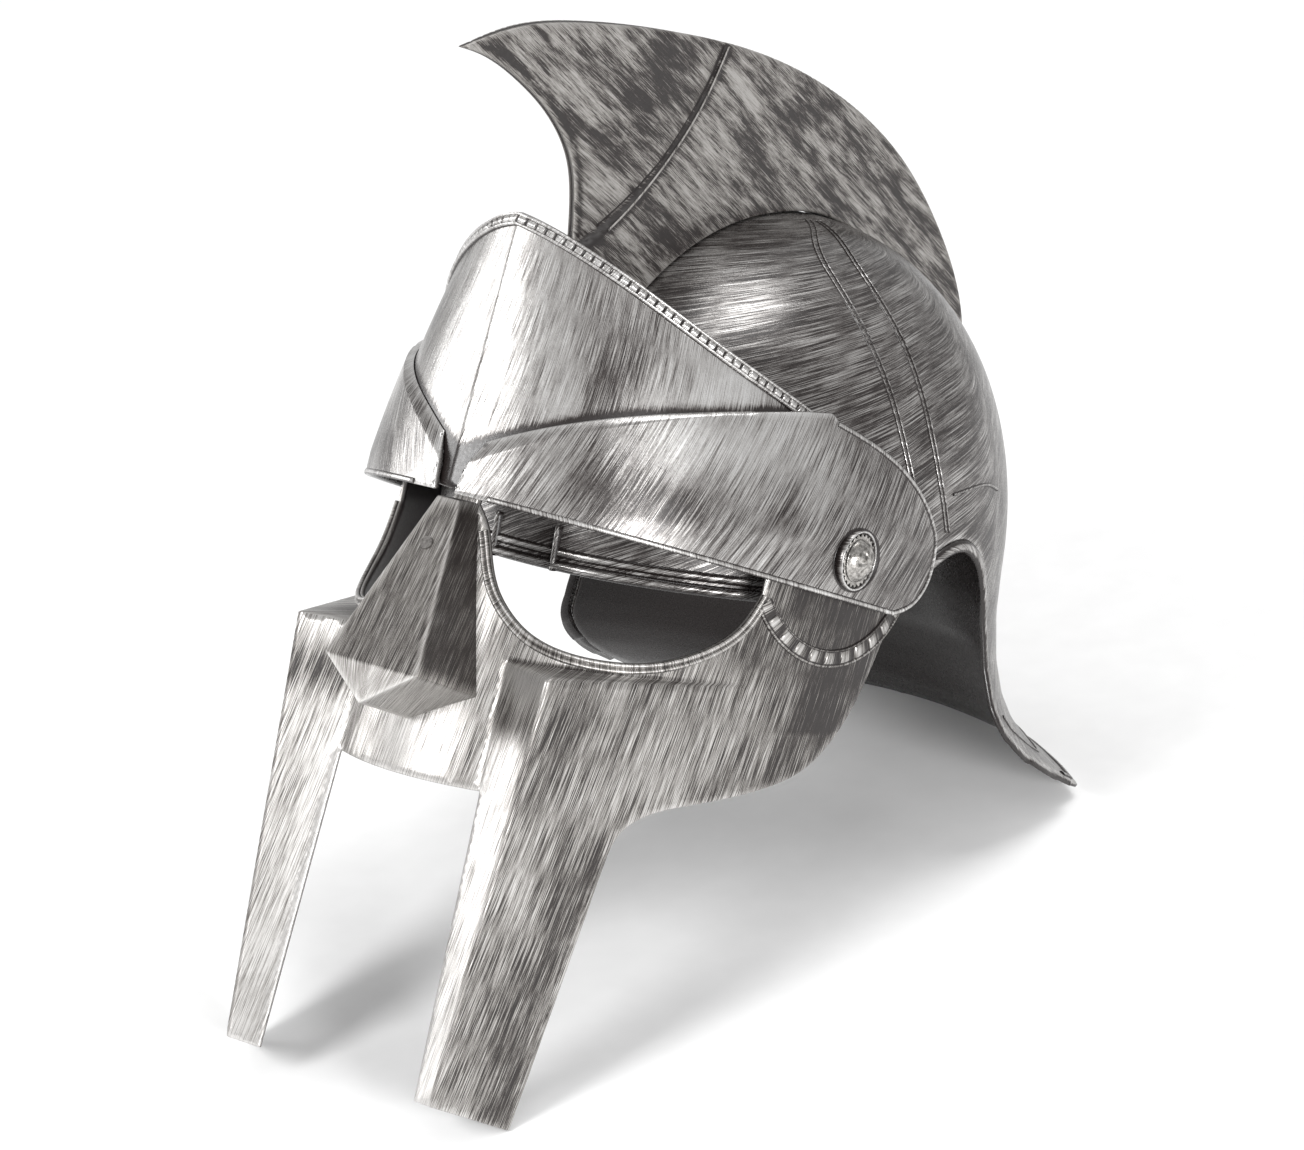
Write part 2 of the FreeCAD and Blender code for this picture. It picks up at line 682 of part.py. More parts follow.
def crestHollow():
    """The pocket inside a half, behind the thin front edge, open on the joint face."""
    inset = pushOut(crestTop, -crestWall * 1.6)
    top = [sidePoint(y, z) for y, z in inset[3:-1]]
    places = (140.0, 124.0, 100.0, 70.0, 40.0, 10.0, crestHollowFrontY)
    bottom = [sidePoint(y, crownZ(y, crestWall * 1.6)) for y in places]
    face = sideFace([curve(top), line(top[-1], bottom[0]), curve(bottom), line(bottom[-1], top[0])])
    return face.extrude(Vec(crestFrontHalfThickness - crestWall, 0, 0))


def crestBoss(y):
    z = crownZ(y, crestLift) + 2 * crestLift
    return Part.makeCylinder(crestBossRadius, crestBossHeight, Vec(0, y, z))


def makeCrestHalf(side):
    """side is 1 for the wearer's left half and -1 for the right half, which is its mirror image."""
    outline = crestFace()
    half = outline.extrude(Vec(crestHalfThickness, 0, 0))
    step = [Vec(crestFrontHalfThickness, y, z) for y, z in crestStep]
    far = [Vec(crestFrontHalfThickness, -190.0, 180.0), Vec(crestFrontHalfThickness, -190.0, 60.0)]
    low = Vec(crestFrontHalfThickness, step[-1].y, 60.0)
    ahead = Part.Face(Part.Wire([curve(step), line(step[-1], low), line(low, far[1]), line(far[1], far[0]),
                                 line(far[0], step[0])]))
    half = half.cut(ahead.extrude(Vec(10, 0, 0)))
    half = half.cut(crestWedge())
    half = half.cut(crestHollow())
    if side < 0:
        half = mirrored(half)
    for y in crestScrewY:
        boss = crestBoss(y)
        if side > 0:
            half = half.fuse(boss)
        else:
            half = half.cut(Part.makeCylinder(crestBossRadius + gap, crestBossHeight + gap,
                                              Vec(0, y, crownZ(y, crestLift))))
        half = half.cut(Part.makeCylinder(screwRadius, screwLength + 4, Vec(0, y, crownZ(y) - 3)))
    return biggest(half)


def crestScrew(y):
    under = crownZ(y) - wall - seatDepth - washerThickness
    head = Part.makeCylinder(screwHeadRadius, screwHeadHeight, Vec(0, y, under - screwHeadHeight))
    slot = Part.makeBox(1.0, 5.0, 1.2, Vec(-0.5, y - 2.5, under - screwHeadHeight))
    cross = Part.makeBox(5.0, 1.0, 1.2, Vec(-2.5, y - 0.5, under - screwHeadHeight))
    shank = Part.makeCylinder(screwRadius, screwLength, Vec(0, y, under))
    return head.fuse(shank).cut([slot, cross])


def crestWasher(y):
    under = crownZ(y) - wall - seatDepth - washerThickness
    disc = Part.makeCylinder(washerRadius, washerThickness, Vec(0, y, under))
    return disc.cut(Part.makeCylinder(screwRadius + 0.15, washerThickness, Vec(0, y, under)))


# Ear stack

def makeEarRivet():
    """Domed cap with a star recess, and the pin that the visor and the mask turn on."""
    seat = cupFloorX + gap + toothWasherThickness
    ball = (capRadius * capRadius + capHeight * capHeight) / (2.0 * capHeight)
    dome = Part.makeSphere(ball, Vec(seat + capHeight - ball, pivotY, pivotZ))
    cap = dome.common(xRod(capRadius, seat, seat + capHeight + 1))
    pin = xRod(pinRadius, bossBackX - nutThickness - 1.5, seat + 1.0)
    rivet = cap.fuse(pin)
    petals = [Part.makeSphere(1.5, Vec(seat + capHeight - 0.4, pivotY + capRecessRadius * math.cos(a),
                                       pivotZ + capRecessRadius * math.sin(a)))
              for a in [math.radians(60.0 * i) for i in range(6)]]
    petals.append(Part.makeSphere(1.3, Vec(seat + capHeight + 0.3, pivotY, pivotZ)))
    return rivet.cut(petals)


def makeToothWasher():
    points = []
    for i in range(toothCount * 2):
        radius = cupBore - gap - (toothDepth if i % 2 else 0.0)
        angle = math.radians(180.0 / toothCount * i)
        points.append(Vec(cupFloorX + gap, pivotY + radius * math.cos(angle), pivotZ + radius * math.sin(angle)))
    star = Part.Face(Part.makePolygon(points + points[:1])).extrude(Vec(toothWasherThickness, 0, 0))
    return star.cut(xRod(pinRadius, cupFloorX - 1, cupFloorX + 4))


def makeSpacer():
    x0 = bossFaceX
    x1 = bossFaceX + spacerThickness
    return xRod(bossRadius - 0.5, x0, x1).cut(xRod(pinRadius, x0 - 1, x1 + 1))


def makeLockNut():
    x0 = bossBackX - nutThickness
    disc = xRod(nutRadius, x0, bossBackX).cut(xRod(pinRadius, x0 - 1, bossBackX + 1))
    slots = []
    for i in range(3):
        slot = Part.makeBox(nutThickness + 2, 1.2, nutRadius - 2.0, Vec(x0 - 1, pivotY - 0.6, pivotZ + pinRadius - 0.2))
        slot.rotate(Vec(0, pivotY, pivotZ), Vec(1, 0, 0), 120.0 * i)
        slots.append(slot.common(xRod(nutRadius - 1.6, x0 - 1, bossBackX + 1)))
    return disc.cut(slots)


# Build every piece, in the upright pose

def build():
    pieces = {}
    pieces["skull_bowl"] = makeSkullBowl()
    pieces["crest_left_half"] = makeCrestHalf(1)
    pieces["crest_right_half"] = makeCrestHalf(-1)
    pieces["crest_screws"] = Part.makeCompound([crestScrew(y) for y in crestScrewY])
    pieces["crest_screw_washers"] = Part.makeCompound([crestWasher(y) for y in crestScrewY])
    pieces["diadem"] = makeDiadem()
    band = makeBrowBand()
    pieces["brow_band_left"] = band
    pieces["brow_band_right"] = mirrored(band)
    studs = browStuds()
    pieces["brow_studs_left"] = Part.makeCompound(studs[:2])
    pieces["brow_studs_right"] = Part.makeCompound(studs[2:])
    pieces["face_mask"] = makeMask()
    pieces["nose_guard"] = makeNoseGuard()
    pieces["nose_guard_stud"] = noseStud()
    stack = {"ear_rivet": makeEarRivet(), "ear_tooth_washer": makeToothWasher(), "ear_spacer": makeSpacer(),
             "ear_lock_nut": makeLockNut()}
    for name, shape in stack.items():
        pieces[name + "_left"] = shape
        pieces[name + "_right"] = mirrored(shape)
    return pieces


def standOnGround(pieces):
    """Lean the helmet back onto its prong heels and neck guard, with the origin under its middle."""
    lean = math.degrees(math.atan2(neckBackZ - (prongFootZ - prongHeelDrop), neckBackY - prongHeelY))
    for shape in pieces.values():
        shape.rotate(Vec(0, 0, 0), Vec(1, 0, 0), -lean)
    points = [p for shape in pieces.values() for p in shape.tessellate(0.2)[0]]
    low = min(p.z for p in points)
    middle = (min(p.y for p in points) + max(p.y for p in points)) / 2.0
    for shape in pieces.values():
        shape.translate(Vec(0, -middle, -low))
    turn = FreeCAD.Rotation(Vec(1, 0, 0), -lean)
    pivot = turn.multVec(Vec(0, pivotY, pivotZ)) + Vec(0, -middle, -low)
    print("lean", lean, "middle", middle, "low", low, "pivot", pivot)
    return lean


def main():
    os.makedirs("parts", exist_ok=True)
    pieces = build()
    standOnGround(pieces)
    for name, shape in pieces.items():
        print(name, len(shape.Solids), "valid", shape.isValid(), "volume", round(shape.Volume))
        shape.exportStep("parts/" + name + ".step")


if __name__ == "__main__":
    main()
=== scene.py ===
import json
import math

import bpy
import numpy as np
from mathutils import Matrix, Vector
from mathutils.geometry import delaunay_2d_cdt

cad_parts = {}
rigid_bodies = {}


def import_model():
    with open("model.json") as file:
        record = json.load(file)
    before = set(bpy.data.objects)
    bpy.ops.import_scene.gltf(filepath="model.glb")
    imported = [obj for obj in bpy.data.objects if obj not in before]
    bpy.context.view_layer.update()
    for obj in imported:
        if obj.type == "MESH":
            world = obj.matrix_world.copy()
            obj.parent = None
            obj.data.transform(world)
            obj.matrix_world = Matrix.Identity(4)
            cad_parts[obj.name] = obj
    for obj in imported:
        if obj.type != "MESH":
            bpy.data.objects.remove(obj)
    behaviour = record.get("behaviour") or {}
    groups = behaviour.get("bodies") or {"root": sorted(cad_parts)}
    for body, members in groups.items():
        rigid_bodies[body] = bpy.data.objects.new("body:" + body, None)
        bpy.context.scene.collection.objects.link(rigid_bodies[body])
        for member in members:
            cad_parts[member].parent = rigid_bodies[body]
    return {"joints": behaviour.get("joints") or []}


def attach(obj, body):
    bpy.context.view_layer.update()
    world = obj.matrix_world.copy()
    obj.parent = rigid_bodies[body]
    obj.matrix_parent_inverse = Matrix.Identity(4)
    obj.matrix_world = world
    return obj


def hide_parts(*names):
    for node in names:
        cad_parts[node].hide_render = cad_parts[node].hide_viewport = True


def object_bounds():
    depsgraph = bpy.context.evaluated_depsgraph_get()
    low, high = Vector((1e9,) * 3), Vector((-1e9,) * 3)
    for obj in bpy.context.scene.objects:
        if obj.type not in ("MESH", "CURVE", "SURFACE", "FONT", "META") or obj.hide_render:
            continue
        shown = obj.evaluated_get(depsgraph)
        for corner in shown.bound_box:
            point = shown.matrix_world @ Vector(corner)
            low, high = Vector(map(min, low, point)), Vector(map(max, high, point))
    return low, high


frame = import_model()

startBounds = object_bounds()
print("frame loaded", startBounds)

# The helmet is drawn upright in millimetres, X to the wearer's left, face towards -Y,
# then leaned back onto its prong heels and neck guard, as in the frame.
stance = {
    "pivotY": -12.5, "pivotZ": 2.2,           # ear pins
    "heelY": -113.0, "heelZ": -200.2,         # where the prongs stand
    "neckY": 186.0, "neckZ": -74.0,           # where the neck guard stands
    "wall": 2.2,
}
lean = math.atan2(stance["neckZ"] - stance["heelZ"], stance["neckY"] - stance["heelY"])
pinPlace = [j["pos_m"] for j in frame["joints"] if j["name"] == "visor_lift"][0]


def leanPoints(p):
    # turned about X by the lean, millimetres to metres: y cos + z sin, z cos - y sin
    y = math.cos(lean) * p[..., 1] + math.sin(lean) * p[..., 2]
    z = -math.sin(lean) * p[..., 1] + math.cos(lean) * p[..., 2]
    return np.stack([p[..., 0], y, z], -1) / 1000.0


pinUpright = leanPoints(np.array([0.0, stance["pivotY"], stance["pivotZ"]]))
standShift = np.array(pinPlace) - pinUpright


def stand(p):
    # upright millimetres to the frame's metres
    return leanPoints(np.asarray(p, float)) + standShift


# Curves and distances

def splineThrough(xs, ys):
    # natural cubic spline, solved as one linear system for its second derivatives
    xs = np.array(xs, float)
    ys = np.array(ys, float)
    n = len(xs)
    h = np.diff(xs)
    a = np.eye(n)
    b = np.zeros(n)
    for i in range(1, n - 1):
        a[i, i - 1:i + 2] = h[i - 1], 2 * (h[i - 1] + h[i]), h[i]
        b[i] = 6 * ((ys[i + 1] - ys[i]) / h[i] - (ys[i] - ys[i - 1]) / h[i - 1])
    m = np.linalg.solve(a, b)

    def value(x):
        x = np.asarray(x, float)
        i = np.clip(np.searchsorted(xs, x) - 1, 0, n - 2)
        d, e = x - xs[i], xs[i + 1] - x
        w = h[i]
        bend = (m[i] * e ** 3 + m[i + 1] * d ** 3) / (6 * w)
        return bend + (ys[i] / w - m[i] * w / 6) * e + (ys[i + 1] / w - m[i + 1] * w / 6) * d
    return value


def travel(p):
    # length run along a path up to each of its points
    return np.concatenate([[0], np.cumsum(np.linalg.norm(np.diff(p, axis=0), axis=1))])


def curveThrough(points, step):
    # smooth path through plane or space points: a spline of each coordinate over the length run
    p = np.array(points, float)
    t = travel(p)
    parts = [splineThrough(t, p[:, k]) for k in range(p.shape[1])]
    fine = np.linspace(0, t[-1], max(int(t[-1] / step * 4), 8))
    return evenly(np.stack([f(fine) for f in parts], 1), step)


def evenly(p, step):
    # the same path with its points a step apart
    p = np.asarray(p, float)
    t = travel(p)
    s = np.linspace(0, t[-1], max(int(round(t[-1] / step)), 1) + 1)
    return np.stack([np.interp(s, t, p[:, k]) for k in range(p.shape[1])], 1)


def smooth(x):
    # 3 x^2 - 2 x^3 between 0 and 1
    x = np.clip(x, 0, 1)
    return x * x * (3 - 2 * x)


def nearest(points, line, chunk=4000):
    # distance from each point to the nearest of a dense row of points
    out = np.empty(len(points))
    for i in range(0, len(points), chunk):
        d = points[i:i + chunk, None, :] - line[None, :, :]
        out[i:i + chunk] = np.sqrt((d * d).sum(-1).min(1))
    return out


def insidePolygon(points, loop):
    # inside where a ray to the right crosses the loop an odd number of times
    x, y = points[:, 0], points[:, 1]
    inside = np.zeros(len(points), bool)
    for a, b in zip(loop, np.roll(loop, -1, axis=0)):
        if a[1] == b[1]:
            continue
        crosses = (a[1] > y) != (b[1] > y)
        inside ^= crosses & (x < (b[0] - a[0]) * (y - a[1]) / (b[1] - a[1]) + a[0])
    return inside


# Meshes

def makePiece(name, verts, faces, body, material, replaced, uv, edge=None, dark=None, flat=False):
    # stands the upright points in the frame, kept inside the solids' box, and gives the mesh its map,
    # its worn edges, and its recesses with the painted light and shade
    mesh = bpy.data.meshes.new(name)
    place = np.clip(stand(verts), startBounds[0], startBounds[1])
    mesh.from_pydata(place.tolist(), [], [list(map(int, f)) for f in faces])
    mesh.validate()
    mesh.update()
    if not flat:
        mesh.shade_smooth()
    layer = mesh.uv_layers.new(name="UVMap")
    loopVert = np.empty(len(mesh.loops), np.int32)
    mesh.loops.foreach_get("vertex_index", loopVert)
    layer.data.foreach_set("uv", (np.asarray(uv, np.float32) / 1000.0)[loopVert].ravel())
    for label, values in (("edge", edge), ("dark", dark)):
        field = mesh.attributes.new(label, "FLOAT", "POINT")
        values = np.zeros(len(mesh.vertices)) if values is None else values
        field.data.foreach_set("value", np.asarray(values, np.float32))
    piece = bpy.data.objects.new(name, mesh)
    bpy.context.scene.collection.objects.link(piece)
    mesh.materials.append(material)
    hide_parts(*replaced)
    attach(piece, body)
    print("piece", name, len(mesh.polygons), "faces")
    return piece


def volumeOf(verts, faces):
    # six times the volume inside: a . (b x c), summed over triangles fanned from each face's first corner
    fan = np.array([(f[0], f[k], f[k + 1]) for f in faces for k in range(1, len(f) - 1)])
    a, b, c = (np.asarray(verts)[fan[:, k]] for k in range(3))
    return (a * np.cross(b, c)).sum()


def gridFaces(rows, columns, closed=False, alongFirst=True):
    # quads between neighbouring rows of points; each row closes on itself, closed joins last row to first
    i, j = np.meshgrid(np.arange(rows if closed else rows - 1), np.arange(columns), indexing="ij")
    i2, j2 = (i + 1) % rows, (j + 1) % columns
    corners = [i * columns + j, i2 * columns + j, i2 * columns + j2, i * columns + j2]
    if not alongFirst:
        corners[1], corners[3] = corners[3], corners[1]
    return [tuple(f) for f in np.stack(corners, -1).reshape(-1, 4)]


def turned(profile, count, sign=1):
    # a profile of (x, radius) turned round the ear pins: y, z = pivot + radius * (cos a, sin a)
    a = np.linspace(0, 2 * math.pi, count + 1)[:-1, None]
    x, r = np.array(profile, float).T
    ring = [x * sign + 0 * a, stance["pivotY"] + r * np.cos(a), stance["pivotZ"] + r * np.sin(a)]
    return np.stack(ring, -1).reshape(-1, 3)


class Surfaces:
    # gathers several closed surfaces into one piece
    def __init__(self):
        self.verts, self.faces, self.uv, self.edge, self.dark = [], [], [], [], []
        self.count = 0

    def add(self, verts, faces, uv, edge=None, dark=None):
        if volumeOf(verts, faces) < 0:
            faces = [tuple(reversed(f)) for f in faces]
        n = len(verts)
        self.verts.append(verts)
        self.faces += [tuple(i + self.count for i in f) for f in faces]
        self.uv.append(uv)
        self.edge.append(np.zeros(n) if edge is None else edge)
        self.dark.append(np.zeros(n) if dark is None else dark)
        self.count += n

    def addBothSides(self, verts, faces, uv, edge=None, dark=None):
        # the mirrored side's map is moved, so that its paint isn't a mirror image
        self.add(verts, faces, uv, edge, dark)
        self.add(verts * [-1, 1, 1], faces, uv * [-1, 1] + [37.0, 11.0], edge, dark)

    def piece(self, name, body, slot, material, replaced):
        return makePiece(name, np.vstack(self.verts), self.faces, body, material, replaced,
                         np.vstack(self.uv), np.concatenate(self.edge), np.concatenate(self.dark))


def trimmedSheet(outline, holes, creases, step, surface, wall, lip=0.45, marks=None):
    # a plane outline filled with a grid of points, joined by triangles that keep its holes and creases,
    # laid on surface(q, depth) at depth 0 and again at depth wall; edges are eased by lip
    # rows of triangles are 0.87 of their side apart
    loops = [outline] + list(holes)
    rows = loops + list(creases)
    low, high = outline.min(0), outline.max(0)
    gx, gy = np.meshgrid(np.arange(low[0], high[0], step), np.arange(low[1], high[1], step * 0.87))
    gx[1::2] += step / 2
    grid = np.stack([gx.ravel(), gy.ravel()], 1)
    keep = insidePolygon(grid, outline)
    for hole in holes:
        keep &= ~insidePolygon(grid, hole)
    grid = grid[keep]
    grid = grid[nearest(grid, np.vstack(rows)) > 0.62 * step]
    points, edges = [grid], []
    count = len(grid)
    for i, row in enumerate(rows):
        n = len(row)
        last = n if i < len(loops) else n - 1
        edges += [(count + k, count + (k + 1) % n) for k in range(last)]
        points.append(row)
        count += n
    flat = np.vstack(points)
    verts2, edges2, faces2, _, _, _ = delaunay_2d_cdt([Vector(p) for p in flat], edges, [], 0, 1e-6)
    q = np.array([tuple(v) for v in verts2])
    tris = np.array(faces2, int)
    centre = q[tris].mean(1)
    keep = insidePolygon(centre, outline)
    for hole in holes:
        keep &= ~insidePolygon(centre, hole)
    tris = tris[keep]
    area = np.cross(q[tris[:, 1]] - q[tris[:, 0]], q[tris[:, 2]] - q[tris[:, 0]])
    tris, area = tris[np.abs(area) > 1e-7], area[np.abs(area) > 1e-7]
    tris[area < 0] = tris[area < 0][:, ::-1]
    # the rim is where a side has no twin; each of its points moves in by lip
    directed = np.vstack([tris[:, [0, 1]], tris[:, [1, 2]], tris[:, [2, 0]]])
    key = directed[:, 0] * len(q) + directed[:, 1]
    back = directed[:, 1] * len(q) + directed[:, 0]
    rim = directed[~np.isin(key, back)]
    way = q[rim[:, 1]] - q[rim[:, 0]]
    way /= np.linalg.norm(way, axis=1)[:, None] + 1e-12
    inward = np.zeros_like(q)
    normal = np.stack([-way[:, 1], way[:, 0]], 1)
    np.add.at(inward, rim[:, 0], normal)
    np.add.at(inward, rim[:, 1], normal)
    inward /= np.linalg.norm(inward, axis=1)[:, None] + 1e-12
    onRim = np.zeros(len(q), bool)
    onRim[rim.ravel()] = True
    used = np.unique(tris)
    index = -np.ones(len(q), int)
    index[used] = np.arange(len(used))
    qIn = np.where(onRim[:, None], q + inward * lip, q)[used]
    n = len(used)
    rimIds = np.unique(rim)
    rimIndex = -np.ones(len(q), int)
    rimIndex[rimIds] = np.arange(len(rimIds))
    zero = np.zeros(n)
    lipDepth = min(lip, wall * 0.3)
    m = len(rimIds)
    verts = np.vstack([surface(qIn, zero), surface(qIn, zero + wall), surface(q[rimIds], np.full(m, lipDepth)),
                       surface(q[rimIds], np.full(m, wall - lipDepth))])
    t = index[tris]
    faces = [tuple(f) for f in t] + [tuple(f[::-1] + n) for f in t]
    a, b = index[rim[:, 0]], index[rim[:, 1]]
    ra, rb = rimIndex[rim[:, 0]] + 2 * n, rimIndex[rim[:, 1]] + 2 * n
    faces += [tuple(f) for f in np.stack([b, a, ra, rb], 1)]
    faces += [tuple(f) for f in np.stack([rb, ra, ra + m, rb + m], 1)]
    faces += [tuple(f) for f in np.stack([rb + m, ra + m, a + n, b + n], 1)]
    # the inside's paint is another part of the map; worn at the rim, bare inside
    uv = np.vstack([qIn, qIn + 500.0, q[rimIds], q[rimIds] + 500.0])
    toRim = nearest(qIn, np.vstack(loops))
    bright = np.exp(-(toRim / 1.1) ** 2)
    edge = np.concatenate([bright, bright * 0.3, np.ones(m), np.full(m, 0.4)])
    dark = np.zeros(n) if marks is None else marks(qIn)
    dark = np.concatenate([dark, np.full(n, 1.0), np.zeros(m), np.full(m, 0.6)])
    return verts, faces, uv, edge, dark


def normalsOf(surface, q):
    # cross product of the surface's two slopes, taken over a small step each way
    e = 0.05
    zero = np.zeros(len(q))
    u = surface(q + [e, 0], zero) - surface(q - [e, 0], zero)
    v = surface(q + [0, e], zero) - surface(q - [0, e], zero)
    n = np.cross(u, v)
    return n / np.linalg.norm(n, axis=1)[:, None]


def ribbon(path, normals, across, widths, heights, dark=None):
    # a profile carried along a path: point = path + across * width + normal * height
    n, m = len(path), len(widths)
    heights = np.broadcast_to(heights, (n, m))
    verts = path[:, None] + across[:, None] * np.asarray(widths)[None, :, None] \
        + normals[:, None] * heights[..., None]
    faces = gridFaces(n, m)
    faces += [tuple(range(m - 1, -1, -1)), tuple((n - 1) * m + k for k in range(m))]
    uv = np.stack([np.repeat(travel(path), m), np.tile(widths, n)], 1)
    top = heights.ravel()
    edge = 0.7 * smooth((top - 0.35 * top.max()) / (0.5 * top.max()))
    shade = 0.6 - edge * 0.8 if dark is None else np.broadcast_to(dark, (n, m)).ravel()
    return verts.reshape(-1, 3), faces, uv, edge, shade


def acrossWays(path, normals, towards=None):
    # sideways direction along a path: normal x travel, turned so that its middle points towards a way
    way = np.gradient(path, axis=0)
    way /= np.linalg.norm(way, axis=1)[:, None]
    side = np.cross(normals, way)
    side /= np.linalg.norm(side, axis=1)[:, None]
    if towards is not None and np.dot(side[len(side) // 2], towards) < 0:
        side = -side
    return side


# half-round bead of width and height 1, with its feet sunk a little
roundWidths = np.array([0.0, 0.0, 0.12, 0.32, 0.5, 0.68, 0.88, 1.0, 1.0])
roundHeights = np.array([-0.35, 0.0, 0.55, 0.9, 1.0, 0.9, 0.55, 0.0, -0.35])


def rolled(path, normals, across, size):
    # the bead carried along a path at a given width and height
    return ribbon(path, normals, across, roundWidths * size[0], roundHeights * size[1])


# Materials

def linear(code):
    # sRGB hex to linear: c / 12.92 below 0.04045, else ((c + 0.055) / 1.055)^2.4
    c = [int(code[i:i + 2], 16) / 255 for i in (1, 3, 5)]
    return tuple(x / 12.92 if x <= 0.04045 else ((x + 0.055) / 1.055) ** 2.4 for x in c) + (1.0,)


def addNode(tree, kind, inputs=None, **settings):
    # one node with its settings; an input is a number or another node's output
    node = tree.nodes.new(kind)
    for key, value in settings.items():
        setattr(node, key, value)
    for key, value in (inputs or {}).items():
        if isinstance(value, bpy.types.NodeSocket):
            tree.links.new(value, node.inputs[key])
        else:
            node.inputs[key].default_value = value
    return node


def compute(tree, operation, a, b):
    return addNode(tree, "ShaderNodeMath", {0: a, 1: b}, operation=operation).outputs[0]


def ramp(tree, fac, stops):
    # colours between stops of place and colour
    node = addNode(tree, "ShaderNodeValToRGB", {"Fac": fac})
    elements = node.color_ramp.elements
    elements[1].position, elements[1].color = stops[-1]
    elements[0].position, elements[0].color = stops[0]
    for place, colour in stops[1:-1]:
        elements.new(place).color = colour
    return node.outputs["Color"]


def stretched(tree, vector, slant, across, along, detail=9.0, rough=0.68, distortion=0.0):
    # noise drawn out along the second axis, its two sizes in millimetres
    turned = addNode(tree, "ShaderNodeMapping", {"Vector": vector, "Rotation": (0, 0, math.radians(slant))})
    scaled = addNode(tree, "ShaderNodeMapping",
                     {"Vector": turned.outputs[0], "Scale": (1000 / across, 1000 / along, 1000 / across)})
    return addNode(tree, "ShaderNodeTexNoise", {"Vector": scaled.outputs[0], "Scale": 1.0, "Detail": detail,
                                               "Roughness": rough, "Distortion": distortion}).outputs["Fac"]


def newMaterial(name):
    # an empty material with a shader and its output
    material = bpy.data.materials.new(name)
    material.use_nodes = True
    tree = material.node_tree
    tree.nodes.clear()
    shader = addNode(tree, "ShaderNodeBsdfPrincipled")
    addNode(tree, "ShaderNodeOutputMaterial", {"Surface": shader.outputs[0]})
    return material, tree, shader


def dryBrushed(name, slant, fine, coarse, patch, weights, bias, look):
    # black moulded ABS, silver paint dragged over it with a dry brush: bright where the brush caught,
    # black in the recesses, with fine hair-like streaks. Amount of silver = bias + streaks + patches
    # + worn edges - recesses and painted shade, painted highlights counting as negative shade; fine, coarse and
    #   patch are sizes in millimetres, across and along.
    # The brush hairs are really about 0.1 mm apart and drawn two or three times as coarse.
    material, tree, shader = newMaterial(name)
    uv = addNode(tree, "ShaderNodeUVMap", uv_map="UVMap").outputs[0]
    edge = addNode(tree, "ShaderNodeAttribute", attribute_name="edge").outputs["Fac"]
    dark = addNode(tree, "ShaderNodeAttribute", attribute_name="dark").outputs["Fac"]
    layers = [stretched(tree, uv, slant, *fine), stretched(tree, uv, slant, *coarse, 6.0, 0.72),
              stretched(tree, uv, slant, *patch, 6.0, 0.66, 0.3)]
    total = bias
    for layer, weight in zip(layers, weights[:3]):
        around = compute(tree, "SUBTRACT", layer, 0.5)
        total = compute(tree, "ADD", compute(tree, "MULTIPLY", around, weight), total)
    total = compute(tree, "ADD", compute(tree, "MULTIPLY", edge, weights[3]), total)
    # less the recesses and painted shade; a painted highlight is negative shade
    total = compute(tree, "SUBTRACT", total, compute(tree, "MULTIPLY", dark, weights[4]))
    amount = compute(tree, "MAXIMUM", compute(tree, "MINIMUM", total, 1.0), 0.0)
    stops = zip((0.24, 0.37, 0.5, 0.72, 1.0), ("#1f1a19", "#37312f") + look["silver"])
    colour = ramp(tree, amount, [(place, linear(code)) for place, code in stops])
    place = addNode(tree, "ShaderNodeTexCoord").outputs["Object"]
    grain = addNode(tree, "ShaderNodeTexNoise", {"Vector": place, "Scale": 900.0, "Detail": 2.0})
    speck = grain.outputs["Fac"]
    gain = compute(tree, "MULTIPLY", amount, look["roughSilver"] - look["roughBlack"])
    rough = compute(tree, "ADD", gain, look["roughBlack"])
    uneven = compute(tree, "MULTIPLY", compute(tree, "SUBTRACT", speck, 0.5), 0.16)
    rough = compute(tree, "ADD", rough, uneven)
    height = compute(tree, "ADD", compute(tree, "MULTIPLY", layers[0], 0.7),
                     compute(tree, "MULTIPLY", speck, 0.3))
    bump = addNode(tree, "ShaderNodeBump", {"Strength": look["bump"], "Distance": 0.0004, "Height": height})
    metal = compute(tree, "MULTIPLY", amount, look["metal"])
    for key, socket in (("Base Color", colour), ("Roughness", rough), ("Metallic", metal),
                        ("Normal", bump.outputs[0])):
        tree.links.new(socket, shader.inputs[key])
    shader.inputs["IOR"].default_value = 1.52        # ABS
    return material


def plainFinish(name, low, high, scale, metallic, roughness, bump=0.1):
    # a colour, gloss and height varied by noise in the piece's own space, for metal and nylon parts
    material, tree, shader = newMaterial(name)
    place = addNode(tree, "ShaderNodeTexCoord").outputs["Object"]
    noise = addNode(tree, "ShaderNodeTexNoise", {"Vector": place, "Scale": scale, "Detail": 5.0,
                                                "Roughness": 0.65}).outputs["Fac"]
    colour = ramp(tree, noise, [(0.3, linear(low)), (0.7, linear(high))])
    rough = compute(tree, "ADD", compute(tree, "MULTIPLY", noise, 0.25), roughness - 0.12)
    normal = addNode(tree, "ShaderNodeBump", {"Strength": bump, "Distance": 0.0003, "Height": noise}).outputs[0]
    for key, socket in (("Base Color", colour), ("Roughness", rough), ("Normal", normal)):
        tree.links.new(socket, shader.inputs[key])
    shader.inputs["Metallic"].default_value = metallic
    shader.inputs["IOR"].default_value = 1.5         # nylon; a metal keeps the default too
    return material


looks = {
    "glossy": {"roughSilver": 0.29, "roughBlack": 0.28, "bump": 0.1, "metal": 0.9,
               "silver": ("#7d7a78", "#a9a7a5", "#dddcdb")},
    "dull": {"roughSilver": 0.33, "roughBlack": 0.4, "bump": 0.16, "metal": 0.85,
             "silver": ("#76736f", "#a3a09d", "#d2d0ce")},
    "matt": {"roughSilver": 0.5, "roughBlack": 0.5, "bump": 0.3, "metal": 0.6,
             "silver": ("#6b6764", "#8e8b87", "#a9a6a3")},
}
